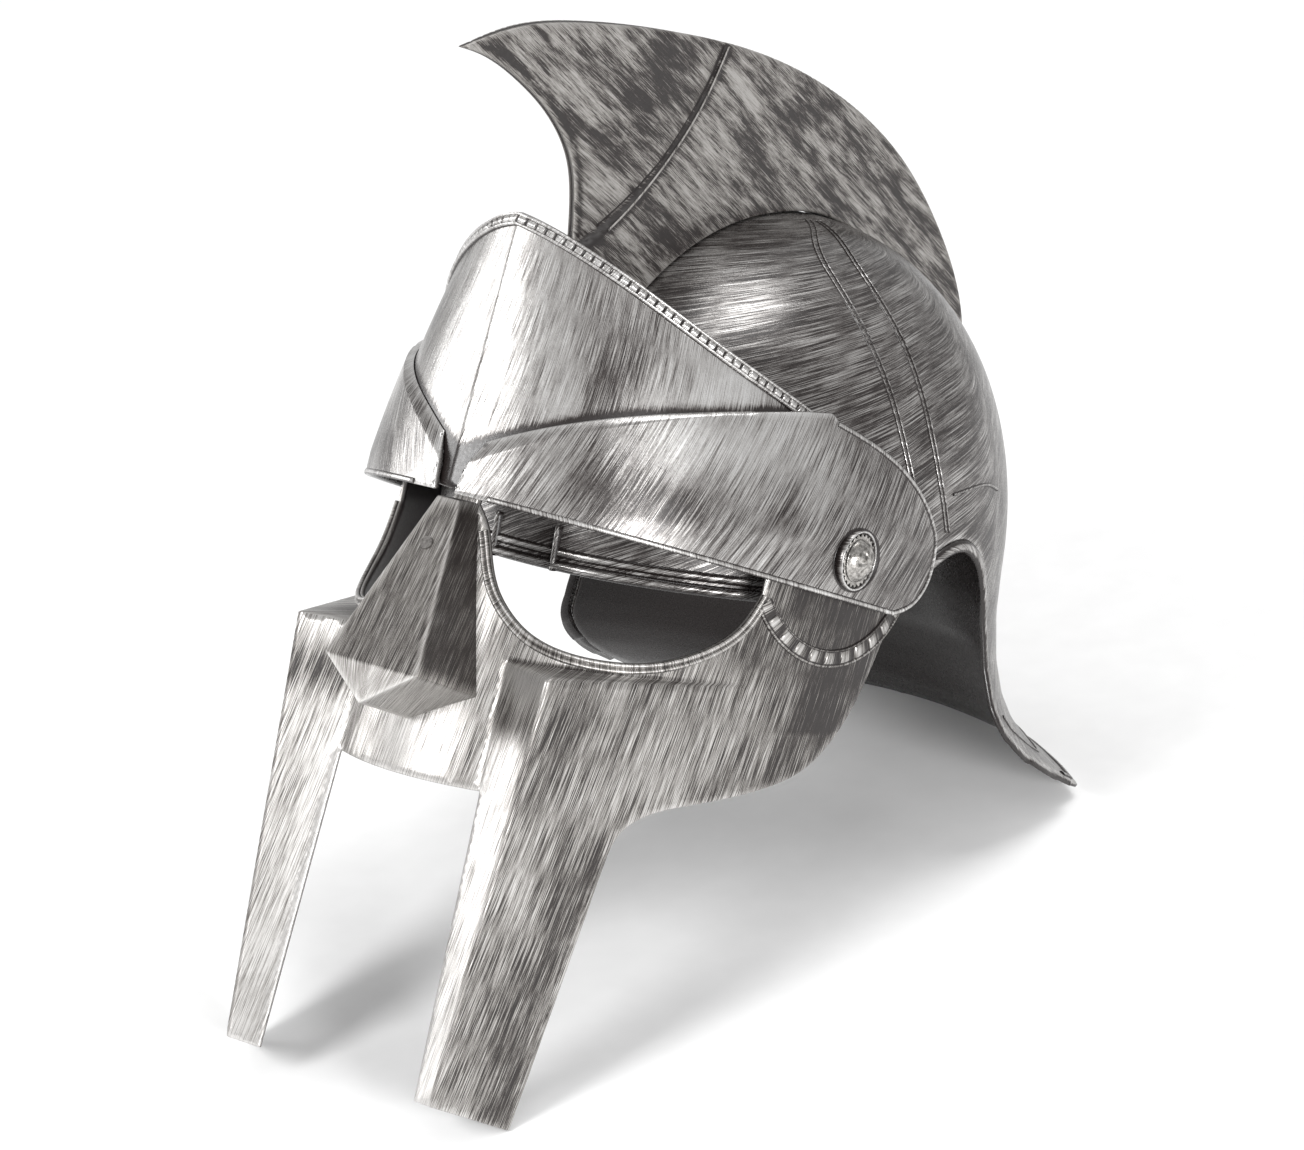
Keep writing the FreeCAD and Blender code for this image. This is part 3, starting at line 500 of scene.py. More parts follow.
# slant in degrees, streak and patch sizes in millimetres, weights of fine streaks, coarse streaks, patches,
# worn edges and recesses with painted shade, and the bias
finishes = {
    "skull": dryBrushed("silvered_skull", 66, (0.34, 24), (3.2, 60), (30, 50), (3.1, 0.8, 0.9, 0.35, 1.3), 0.38,
                        looks["glossy"]),
    "crest": dryBrushed("silvered_crest", -64, (0.3, 12), (2.4, 24), (11, 44), (2.8, 2.1, 2.4, 0.3, 0.9), 0.45,
                        looks["matt"]),
    "diadem": dryBrushed("silvered_diadem", 12, (0.24, 16), (2.0, 40), (26, 70), (2.7, 0.6, 0.9, 0.2, 0.9),
                         0.63, looks["glossy"]),
    "band": dryBrushed("silvered_band", 26, (0.26, 20), (2.0, 34), (24, 46), (2.9, 0.6, 0.8, 0.3, 0.9), 0.56,
                       looks["glossy"]),
    "mask": dryBrushed("silvered_mask", 8, (0.26, 20), (1.6, 44), (20, 60), (3.2, 0.7, 0.9, 0.25, 0.9), 0.55,
                       looks["dull"]),
    "nose": dryBrushed("silvered_nose_guard", 0, (0.24, 14), (1.8, 20), (14, 24), (2.4, 0.5, 0.4, 0.3, 0.6),
                       0.52, looks["dull"]),
}
# bright stamped tin plate with dark grime, soft grey zinc plate, a dulled stud, dull black nylon
rivetMetal = plainFinish("bright_tinplate", "#5d5a56", "#cfccc8", 700.0, 1.0, 0.26, 0.25)
zincPlate = plainFinish("zinc_plate", "#8d8f92", "#b9babb", 500.0, 1.0, 0.36)
studMetal = plainFinish("worn_stud", "#4d4a48", "#8d8a87", 900.0, 0.8, 0.42)
blackNylon = plainFinish("black_nylon", "#141414", "#26262a", 600.0, 0.0, 0.5)
print("materials made")

# Skull bowl: a squared ellipsoid over a neck that flares outwards

bowl = {
    "halfWidth": 93.8, "widestY": 55.0, "front": 130.0, "back": 99.5, "equatorZ": -8.0, "crown": 118.5,
    "square": 2.1, "columns": 184, "rows": 102,
    "firstRow": 0.0045, "ease": 0.5,          # height angle above the rim, easing of its edge
    # drop below the equator, growth at the sides, growth at the back
    "flare": [(-20.0, 0.0, 0.0), (0.0, 0.0, 0.0), (16.0, 1.0, 0.0), (33.0, 4.2, 1.5), (46.0, 8.5, 5.5),
              (56.0, 13.5, 13.0), (64.0, 18.5, 26.0), (71.0, 26.0, 40.0), (77.0, 35.0, 54.0),
              (90.0, 52.0, 76.0)],
    # lower rim seen from the side: front, ear arch, neck guard
    "rim": [(-74.99, -17.0), (8.0, -17.0), (20.0, -12.5), (34.0, -2.5), (47.0, 5.0), (60.0, 7.2),
            (73.0, 1.5), (82.0, -10.0), (87.0, -26.0), (90.2, -46.0), (94.5, -60.0), (104.0, -68.5),
            (122.0, -77.0), (148.0, -85.0), (186.0, -74.0)],
    "borderFrom": 38.0, "borderTo": 138.5, "border": (4.6, 1.2),
    # height angle above the rim, y where it starts, width and height
    "rearLines": ((0.010, 138.0, (3.4, 0.8)), (0.085, 100.0, (1.4, 0.6))),
    "straps": ([(43.5, 109.0), (20, 96), (17.5, 76), (20, 54), (24, 32), (33, 6)],
               [(48.0, 109.0), (36, 98), (34.5, 76), (36.5, 54), (40, 32), (46, 10)]),
    "strapGap": 2.1, "strapLine": (1.0, 0.55),
    "archLine": [(50.4, 22.8), (64.0, 25.0), (76.0, 25.6), (86.1, 23.3)], "archLineSize": (1.3, 0.7),
    "browReach": 1.2, "browBeads": ((-17.0, (4.0, 2.0)), (-12.2, (3.4, 1.0))),
    "ribX": 13.0, "ribFrom": -17.0, "ribTo": -1.5, "rib": (3.0, 2.0),
    # boss that the ear pin turns in, as x and radius
    "boss": [(75.5, 3.06), (75.5, 8.0), (85.9, 8.0), (86.3, 7.6), (86.3, 3.06)],
}
flareTable = np.array(bowl["flare"])


def bowlAxes(z):
    # half width and length of the bowl at a height: fixed above the equator, flared below
    drop = bowl["equatorZ"] - z
    side = bowl["halfWidth"] + np.interp(drop, flareTable[:, 0], flareTable[:, 1])
    back = bowl["back"] + np.interp(drop, flareTable[:, 0], flareTable[:, 2])
    return side, back


def bowlField(p):
    # |x / side|^n + |y / length|^n + (z / crown)^n, which is 1 on the bowl
    side, back = bowlAxes(p[:, 2])
    length = np.where(p[:, 1] > bowl["widestY"], back, bowl["front"])
    n = bowl["square"]
    up = np.maximum(p[:, 2] - bowl["equatorZ"], 0) / bowl["crown"]
    return (np.abs(p[:, 0]) / side) ** n + (np.abs(p[:, 1] - bowl["widestY"]) / length) ** n + up ** n


def bowlNormals(p):
    # slope of that field, taken over a small step each way
    e = 0.6
    n = np.stack([bowlField(p + d) - bowlField(p - d) for d in np.eye(3) * e], 1)
    return n / np.linalg.norm(n, axis=1)[:, None]


def bowlPoint(theta, psi):
    # plan angle from the brow, height angle from the equator, both eased for the squareness
    n = bowl["square"]
    rise = np.maximum(psi, 0)
    z = bowl["equatorZ"] + bowl["crown"] * np.where(psi > 0, np.sin(rise) ** (2 / n), psi)
    shrink = np.maximum(np.cos(rise), 0) ** (2 / n)
    side, back = bowlAxes(z)
    c, s = np.cos(theta), np.sin(theta)
    x = side * np.sign(s) * np.abs(s) ** (2 / n) * shrink
    length = np.where(c < 0, back, bowl["front"])
    y = bowl["widestY"] - np.sign(c) * np.abs(c) ** (2 / n) * length * shrink
    return np.stack([x, y, z], -1)


def bowlFromSide(y, z):
    # the bowl's x at a place seen from the side, from the same field
    n = bowl["square"]
    side, back = bowlAxes(z)
    length = np.where(y > bowl["widestY"], back, bowl["front"])
    up = np.maximum(z - bowl["equatorZ"], 0) / bowl["crown"]
    rest = 1 - (np.abs(y - bowl["widestY"]) / length) ** n - up ** n
    return np.stack([side * np.maximum(rest, 0) ** (1 / n), y, z], -1)


def crownZ(y, grow=0.0):
    # height of the bowl's middle line at y, grown outwards
    n = bowl["square"]
    length = np.where(y > bowl["widestY"], bowl["back"], bowl["front"]) + grow
    share = np.minimum(np.abs(y - bowl["widestY"]) / length, 1)
    return bowl["equatorZ"] + (bowl["crown"] + grow) * (1 - share ** n) ** (1 / n)


def makeSkull():
    n = bowl["square"]
    # plan and height angles of the rim, from its side view
    arch = curveThrough(bowl["rim"][1:-1], 0.5)
    rimSide = np.vstack([bowl["rim"][:1], arch, bowl["rim"][-1:]])
    rim = evenly(rimSide, 0.5)
    length = np.where(rim[:, 0] > bowl["widestY"], bowlAxes(rim[:, 1])[1], bowl["front"])
    share = np.clip((rim[:, 0] - bowl["widestY"]) / length, -1, 1)
    up = np.maximum(rim[:, 1] - bowl["equatorZ"], 0) / bowl["crown"]
    share = np.clip(share / (1 - up ** n) ** (1 / n), -1, 1)
    rimTheta = np.arccos(np.clip(-np.sign(share) * np.abs(share) ** (n / 2), -1, 1))
    rimTheta[0], rimTheta[-1] = 0.0, math.pi
    rimPsi = np.where(rim[:, 1] > bowl["equatorZ"], np.arcsin(np.clip(up, 0, 1) ** (n / 2)),
                      (rim[:, 1] - bowl["equatorZ"]) / bowl["crown"])
    # columns spread along the rim's real length, then the other side's
    t = travel(bowlPoint(rimTheta, rimPsi))
    places = np.linspace(0, t[-1], bowl["columns"] + 1)
    theta, psi0 = np.interp(places, t, rimTheta), np.interp(places, t, rimPsi)
    theta = np.concatenate([theta, -theta[1:-1][::-1]])
    psi0 = np.concatenate([psi0, psi0[1:-1][::-1]])
    m, rows = len(theta), bowl["rows"]
    start = psi0[None] + bowl["firstRow"]
    v = np.linspace(0, 1, rows + 1)[:-1, None]
    psiGrid = start + (math.pi / 2 - psi0[None] - bowl["firstRow"]) * v
    outer = bowlPoint(np.broadcast_to(theta, psiGrid.shape), psiGrid)
    normals = bowlNormals(outer.reshape(-1, 3)).reshape(outer.shape)
    inner = outer - normals * stance["wall"]
    edgeRow = bowlPoint(theta, psi0)
    ringA = edgeRow - normals[0] * bowl["ease"]
    ringB = edgeRow - normals[0] * (stance["wall"] - bowl["ease"])
    crownOut = np.array([[0, bowl["widestY"], bowl["equatorZ"] + bowl["crown"]]])
    layers = np.concatenate([inner[::-1], ringB[None], ringA[None], outer])
    count = len(layers)
    verts = np.vstack([layers.reshape(-1, 3), crownOut - [[0, 0, stance["wall"]]], crownOut])
    faces = gridFaces(count, m, alongFirst=False)
    inTip, outTip, last = count * m, count * m + 1, (count - 1) * m
    faces += [(inTip, (k + 1) % m, k) for k in range(m)]
    faces += [(last + k, last + (k + 1) % m, outTip) for k in range(m)]
    # map: length round the rim, drawn in towards the crown, against height
    across = np.interp(np.abs(theta), rimTheta, t) * np.sign(theta + 1e-9)
    drawnIn = 0.25 + 0.75 * np.cos(np.maximum(psiGrid, 0))
    uvOuter = np.stack([across * drawnIn, psiGrid * bowl["crown"]], -1)
    uv = np.concatenate([uvOuter[::-1] + 600, uvOuter[:1], uvOuter[:1], uvOuter]).reshape(-1, 2)
    uv = np.vstack([uv, [[600, 786]], [[0, 186]]])
    # paint is worn along the rim, and the inside is bare
    near = np.exp(-(np.arange(rows) * 1.3 / 1.2) ** 2)[:, None] * np.ones((1, m))
    edge = np.concatenate([near[::-1] * 0.2, np.full((1, m), 0.5), np.ones((1, m)), near]).ravel()
    dark = np.concatenate([np.ones((rows, m)), np.full((1, m), 0.5), np.zeros((rows + 1, m))]).ravel()
    group = Surfaces()
    group.add(verts, faces, uv, np.append(edge, [0, 0]), np.append(dark, [1, 0]))

    def strip(sidePath, size, turnIn=1.0):
        # a bead laid on the bowl along a path seen from the side
        path = evenly(bowlFromSide(sidePath[:, 0], sidePath[:, 1]), 0.9)
        normal = bowlNormals(path)
        group.addBothSides(*rolled(path - normal * 0.05, normal, acrossWays(path, normal) * turnIn, size))

    # rolled border of the ear arch and neck guard
    rimLine = evenly(rimSide, 1.0)
    border = rimLine[(rimLine[:, 0] > bowl["borderFrom"]) & (rimLine[:, 0] < bowl["borderTo"])]
    strip(evenly(border, 0.9), bowl["border"], -1.0)
    # the border goes on round the back edge, with an embossed line above it
    for lift, above, size in bowl["rearLines"]:
        path = bowlPoint(theta, psi0 + lift)
        path = evenly(path[path[:, 1] > above], 1.2)
        normal = bowlNormals(path)
        group.add(*rolled(path - normal * 0.1, normal, acrossWays(path, normal, (0, 0, 1)), size))
    # twin embossed lines over the crown, straps of the old leather helmets
    for strap in bowl["straps"]:
        for offset in (0.0, bowl["strapGap"]):
            strip(curveThrough([(y + offset, z) for y, z in strap], 0.9), bowl["strapLine"])
    strip(curveThrough(bowl["archLine"], 0.9), bowl["archLineSize"])
    # front rim: a bead with a lower tier above it, and two ribs
    theta = np.linspace(-bowl["browReach"], bowl["browReach"], 200)
    for z0, size in bowl["browBeads"]:
        path = bowlPoint(theta, np.full_like(theta, (z0 - bowl["equatorZ"]) / bowl["crown"]))
        across = np.broadcast_to([0.0, 0.0, 1.0], path.shape)
        group.add(*rolled(path, bowlNormals(path), across, size))
    for sign in (-1, 1):
        z = np.linspace(bowl["ribFrom"], bowl["ribTo"], 12)
        x = np.full_like(z, bowl["ribX"] * sign)
        up = np.maximum(z - bowl["equatorZ"], 0) / bowl["crown"]
        rest = 1 - (np.abs(x) / bowlAxes(z)[0]) ** n - up ** n
        path = np.stack([x, bowl["widestY"] - bowl["front"] * rest ** (1 / n), z], 1)
        across = np.broadcast_to([1.0, 0.0, 0.0], path.shape)
        group.add(*rolled(path - across * bowl["rib"][0] / 2, bowlNormals(path), across, bowl["rib"]))
    for sign in (-1, 1):
        ring = turned(bowl["boss"], 48, sign)
        group.add(ring, gridFaces(48, len(bowl["boss"]), True), ring[:, 1:], None, np.full(len(ring), 0.8))
    return group.piece("skull_shell", "skull", "silvered_plastic", finishes["skull"], ("skull_bowl",))


makeSkull()

# Crest: a tall fin in two halves, stepped on its sides, thin at its front edge

crest = {
    "top": [(-151, 158), (-124, 166.3), (-86, 170.4), (-39, 170.6), (23, 164.8), (72, 152.4), (116, 132),
            (146, 108.6), (167.4, 84.2), (175.5, 64), (170, 44), (153, 33)],
    "front": [(-151, 158), (-139.2, 156.3), (-114.9, 147.8), (-95.1, 136.4), (-81.6, 121.6), (-76.4, 104),
              (-73, 84), (-66, 62)],
    "step": [(-8, 180), (-8.4, 168.4), (-18.4, 147.6), (-35.7, 125.1), (-58.1, 104.6), (-80, 90)],
    "stepFoot": (-63.0, 101.0), "stepTop": (-8, 200), "stepEnd": (-110, 72),
    "bottomY": (149.0, 140.0, 124.0, 100.0, 70.0, 40.0, 10.0, -15.0, -35.0, -50.0, -57.0),
    "half": 6.5, "frontHalf": 5.2, "edgeHalf": 1.3, "wedge": 42.0, "spacing": 1.7, "depth": 5.0,
    # strip of painted shadow and lip with a painted highlight, along the step: shift, size, how bright
    "stepLines": ((0.0, (1.5, 0.25), 0.0), (-0.75, (0.75, 0.3), 1.0)),
}


def makeCrest():
    top = curveThrough(crest["top"], 1.3)
    seat = [(y, float(crownZ(np.array(y), 0.4)) + 0.15) for y in crest["bottomY"]]
    bottom = curveThrough(seat, 1.3)
    frontLine = curveThrough(crest["front"], 1.3)
    joinRear = evenly([top[-1], bottom[0]], 1.3)
    joinFront = evenly([bottom[-1], frontLine[-1]], 1.3)
    outline = np.vstack([top[:-1], joinRear[:-1], bottom[:-1], joinFront[:-1], frontLine[::-1][:-1]])
    stepLine = curveThrough(crest["step"], 1.3)
    inside = stepLine[insidePolygon(stepLine, outline)]
    inside = inside[nearest(inside, outline) > 0.8]
    way = np.gradient(inside, axis=0)
    way /= np.linalg.norm(way, axis=1)[:, None]
    aside = np.stack([way[:, 1], -way[:, 0]], 1)
    creases = [inside + aside * shift for shift in (0.0, -0.55, 1.0, -1.7)]
    creases = [c[insidePolygon(c, outline) & (nearest(c, outline) > 0.8)] for c in creases]
    stepDense = curveThrough([crest["stepTop"]] + crest["step"][1:] + [crest["stepEnd"]], 0.4)
    denseWay = np.gradient(stepDense, axis=0)
    frontDense = curveThrough(crest["front"], 0.5)
    topDense = curveThrough(crest["top"], 0.5)

    def aheadOf(q):
        # signed distance to the step line, ahead of it positive
        d = q[:, None] - stepDense[None]
        k = (d * d).sum(-1).argmin(1)
        away, w = q - stepDense[k], denseWay[k]
        cross = w[:, 0] * away[:, 1] - w[:, 1] * away[:, 0]
        return np.where(cross > 0, -1, 1) * np.linalg.norm(away, axis=1)

    def thickness(q):
        # full half behind the step, a wedge to the front edge ahead of it, less three round grooves:
        # behind the raised lip, ahead of the step and inside the front edge; eased along the top
        s = aheadOf(q)
        fromFront = nearest(q, frontDense)
        share = np.clip(fromFront / crest["wedge"], 0, 1)
        fore = crest["edgeHalf"] + (crest["frontHalf"] - crest["edgeHalf"]) * share
        mix = smooth(s / 0.5 + 0.5)
        h = crest["half"] * (1 - mix) + fore * mix
        h = h - 0.7 * np.exp(-((s + 1.9) / 0.5) ** 2) - 0.5 * np.exp(-((s - 0.9) / 0.6) ** 2)
        h = h - 0.35 * np.exp(-((fromFront - 3.0) / 0.7) ** 2) * (s > 2)
        toTop = np.clip(nearest(q, topDense) / 1.1, 0, 1)
        ease = np.sqrt(np.clip(1 - (1 - toTop) ** 2, 0, 1))
        return np.maximum(h - 0.9 * (1 - ease), 0.5)

    def surface(q, depth):
        # x falls from the thickness to the middle plane as the depth grows
        x = 0.03 + (thickness(q) - 0.03) * (1 - np.clip(depth, 0, crest["depth"]) / crest["depth"])
        return np.stack([x, q[:, 0], q[:, 1]], 1)

    def marks(q):
        # painted shadow along the step; dark in the groove behind its lip and in the groove inside the front
        # edge
        s = aheadOf(q)
        fromFront = nearest(q, frontDense)
        # the first term is the painted shadow along the step
        return 0.9 * np.exp(-((s + 0.15) / 0.6) ** 2) + 0.5 * np.exp(-((s + 1.9) / 0.5) ** 2) \
            + 0.5 * np.exp(-((fromFront - 3.0) / 0.8) ** 2) * (s > 2)

    verts, faces, uv, edge, dark = trimmedSheet(outline, [], creases, crest["spacing"], surface,
                                                crest["depth"], 0.6, marks)
    # a narrow dark strip as the step's painted shadow, and a narrow raised lip behind it with a painted
    # highlight
    row = evenly(curveThrough(crest["step"][1:-1] + [crest["stepFoot"]], 0.8), 0.8)
    row = row[insidePolygon(row, outline) & (nearest(row, outline) > 1.0)]
    run = np.gradient(row, axis=0)
    run /= np.linalg.norm(run, axis=1)[:, None]
    forward = np.stack([run[:, 1], -run[:, 0]], 1)
    if forward[0, 0] > 0:
        forward = -forward
    strips = []
    for shift, size, light in crest["stepLines"]:
        start = row + forward * shift
        x = np.full(len(row), crest["half"]) if light else thickness(row + forward * 1.2)
        path = np.column_stack([x, start])
        across = np.column_stack([np.zeros(len(row)), forward])
        v, f, u = rolled(path, np.broadcast_to([1.0, 0.0, 0.0], path.shape), across, size)[:3]
        # the dark strip is painted shadow, the lip's full brightness a painted highlight
        strips.append((v, f, u, np.full(len(v), light), np.full(len(v), 0.0 if light else 1.6)))
    for name, sign in (("left", 1), ("right", -1)):
        group = Surfaces()
        group.add(verts * [sign, 1, 1], faces, uv + (0 if sign > 0 else 70), edge, np.minimum(dark, 1))
        for v, *rest in strips:
            group.add(v * [sign, 1, 1], *rest)
        group.piece("crest_fin_" + name, "skull", "silvered_plastic", finishes["crest"],
                    ("crest_" + name + "_half",))


makeCrest()

# Visor: brow plate and bands, on an ellipse that closes in and leans back with height

visor = {
    "halfWidth": 96.5, "centreY": 30.0, "reach": 148.6, "baseZ": 10.0, "lean": 0.182, "draw": 0.2,
    "curl": 0.002, "ridge": 4.0, "ridgeHalf": 30.0, "grow": 3.2, "flatScale": 110.0,
    # edges seen from the side, as y and z
    "edge": [(-105.4, 104.6), (-87.7, 90.6), (-72.2, 78.6), (-53.8, 66.0), (-36.0, 55.6), (-25.0, 49.0),
             (-20.0, 45.5)],
    "tailEnd": (-20.0, 18.5), "lowEnd": (-122.6, 10.2),
    "lipWidth": 80.0, "lip": (22.8, 43.0, 14.8),       # upper line of the brow bands
    # beaded border: across it, its two rails, and where the blocks stand up
    "beadWidths": (0.0, 0.0, 0.15, 0.55, 0.95, 1.1, 1.3, 3.2, 3.4, 3.55, 3.95, 4.35, 4.6, 4.6),
    "beadRails": (-0.5, 0.2, 1.2, 1.6, 1.2, 0.5, 0.4, 0.4, 0.5, 1.2, 1.5, 1.0, 0.1, -0.5),
    "beadBlocks": (0, 0, 0, 0, 0, 0, 1, 1, 0, 0, 0, 0, 0, 0), "beadPitch": 3.7, "beadRise": 0.95,
}


def visorPoint(t, z, off):
    # x = side * sin t, y = centre - front * cos t, less a fold that sharpens the middle; off grows it
    rise = np.maximum(z - visor["baseZ"], 0)
    side = visor["halfWidth"] - visor["draw"] * rise - visor["curl"] * rise ** 2 + off
    front = visor["reach"] - visor["lean"] * (z - visor["baseZ"]) + off
    x = side * np.sin(t)
    fold = visor["ridge"] * np.maximum(0, 1 - np.abs(x) / visor["ridgeHalf"]) ** 2
    return np.stack([x, visor["centreY"] - front * np.cos(t) - fold, z], -1)


def halved(low, high, tooLow):
    # the value between low and high where tooLow stops being true, by halving the gap
    for _ in range(40):
        middle = (low + high) / 2
        short = tooLow(middle)
        low, high = np.where(short, middle, low), np.where(short, high, middle)
    return (low + high) / 2


def sideToFlat(path, pointOf, scale):
    # a path seen from the side, as angle * scale and height on a surface of angle and height
    y, z = np.asarray(path, float).T
    t = halved(np.zeros_like(y), np.full_like(y, 2.3), lambda m: pointOf(m, z)[..., 1] < y)
    return np.stack([t * scale, z], 1)


def normalAt(pointOf, t, z, e):
    # cross product of the surface's slopes along its angle and its height
    n = np.cross(pointOf(t + e, z) - pointOf(t - e, z), pointOf(t, z + e) - pointOf(t, z - e))
    return n / np.linalg.norm(n, axis=1)[:, None]


def plainVisor(t, z):
    return visorPoint(t, z, 0.0)


def grownVisor(t, z):
    return visorPoint(t, z, visor["grow"])


def bandTop(x):
    # height of the brow bands' upper line: a parabola in x, level from the ear on
    s = np.clip(x / visor["lipWidth"], 0, 1)
    return visor["lip"][0] + visor["lip"][1] * s - visor["lip"][2] * s * s


def makeDiadem():
    scale = visor["flatScale"]
    edgeSide = curveThrough(visor["edge"], 1.0)
    tail = evenly([visor["edge"][-1], visor["tailEnd"]], 1.4)
    low = evenly([visor["tailEnd"], visor["lowEnd"]], 1.4)
    parts = [sideToFlat(p, plainVisor, scale) for p in (edgeSide, tail, low)]
    parts[0][0] = (0.0, visor["edge"][0][1])
    parts[2][-1] = (0.0, visor["lowEnd"][1])
    right = np.vstack([parts[0][:-1], parts[1][:-1], parts[2]])
    outline = np.vstack([right, (right[1:-1] * [-1, 1])[::-1]])
    outline = evenly(np.vstack([outline, outline[:1]]), 1.4)[:-1]
    ridge = [evenly([(x, 101.0 - abs(x)), (x, 13.0)], 1.4) for x in (0.0, -1.3, 1.3)]

    def surface(q, depth):
        return visorPoint(q[:, 0] / scale, q[:, 1], -depth)

    def marks(q):
        # painted shade over the bands' upper line and at the ears, and two soft patches of painted shade and
        # painted highlight
        x = np.abs(surface(q, 0 * q[:, 0])[:, 0])
        # two soft patches: painted shade at x 40, painted highlight at x 64
        patch = 0.26 * np.exp(-((x - 40) / 9) ** 2) * np.exp(-((q[:, 1] - 60) / 20) ** 2) \
            - 0.25 * np.exp(-((x - 64) / 9) ** 2)
        # painted shade just over the bands' upper line
        shadeOverBands = 0.9 * np.exp(-(np.maximum(q[:, 1] - bandTop(x), 0) / 2.2) ** 2)
        # the term past x 76 is painted shade at the ears
        return shadeOverBands + 0.5 * smooth((x - 76) / 8) + patch

    group = Surfaces()
    group.add(*trimmedSheet(outline, [], ridge, 2.1, surface, stance["wall"], 0.4, marks))
    # beaded border: two rails with small square blocks between them
    flat = evenly(sideToFlat(evenly(edgeSide[::-1], 0.3), plainVisor, scale), 0.3)
    path = evenly(surface(flat, np.zeros(len(flat))), 0.3)
    side = plainVisor(np.full(len(path), math.pi / 2), path[:, 2])[:, 0]
    t = np.arcsin(np.clip(path[:, 0] / side, -1, 1))
    normal = normalAt(plainVisor, t, path[:, 2], 0.01)
    s = np.arange(len(path)) * 0.3
    pitch = visor["beadPitch"]
    block = smooth((np.abs((s / pitch) % 1 - 0.5) * pitch - 0.3) / 0.25)
    rails, blocks = np.array(visor["beadRails"]), np.array(visor["beadBlocks"])
    heights = rails + blocks * block[:, None] * visor["beadRise"]
    bead = ribbon(path, normal, acrossWays(path, normal, (0, 0, -1)), np.array(visor["beadWidths"]), heights,
                  np.clip(0.9 - heights / 1.1, 0, 1))
    bead[0][:, 0] = np.maximum(bead[0][:, 0], 0.01)
    group.addBothSides(*bead)
    return group.piece("diadem_plate", "visor", "silvered_plastic", finishes["diadem"], ("diadem",))


makeDiadem()

# Brow bands: raised over the brow plate, from the nose to a cup at the ear

band = {
    "side": [(-19.0, 48.6), (-4.0, 42.5), (13.0, 33.0), (25.5, 20.5), (31.0, 7.0), (29.5, -6.0), (22.0, -14.2),
             (10.6, -17.5)],
    "lowEnd": (-124.8, 9.0), "rimEnd": (-121.0, 8.3), "inner": [(9.7, 26.5), (6.1, 19.4), (4.2, 9.0)],
    "bevel": 7.0, "bevelEnd": 72.0, "cupBore": 9.8, "cupRadius": 10.6, "cupFloor": 95.6,
    "thick": 2.9, "footGap": 0.3, "crestLine": 0.5, "rim": (2.0, 0.55),
    # lip of the cup that holds the ear rivet, as x and radius, and how worn each line of it is
    "cupLip": [(94.0, 9.8), (96.7, 9.8), (96.9, 10.0), (96.9, 10.4), (96.7, 10.6), (93.0, 10.6)],
    "cupWear": (0.0, 0.8, 1.0, 1.0, 0.8, 0.0),
}


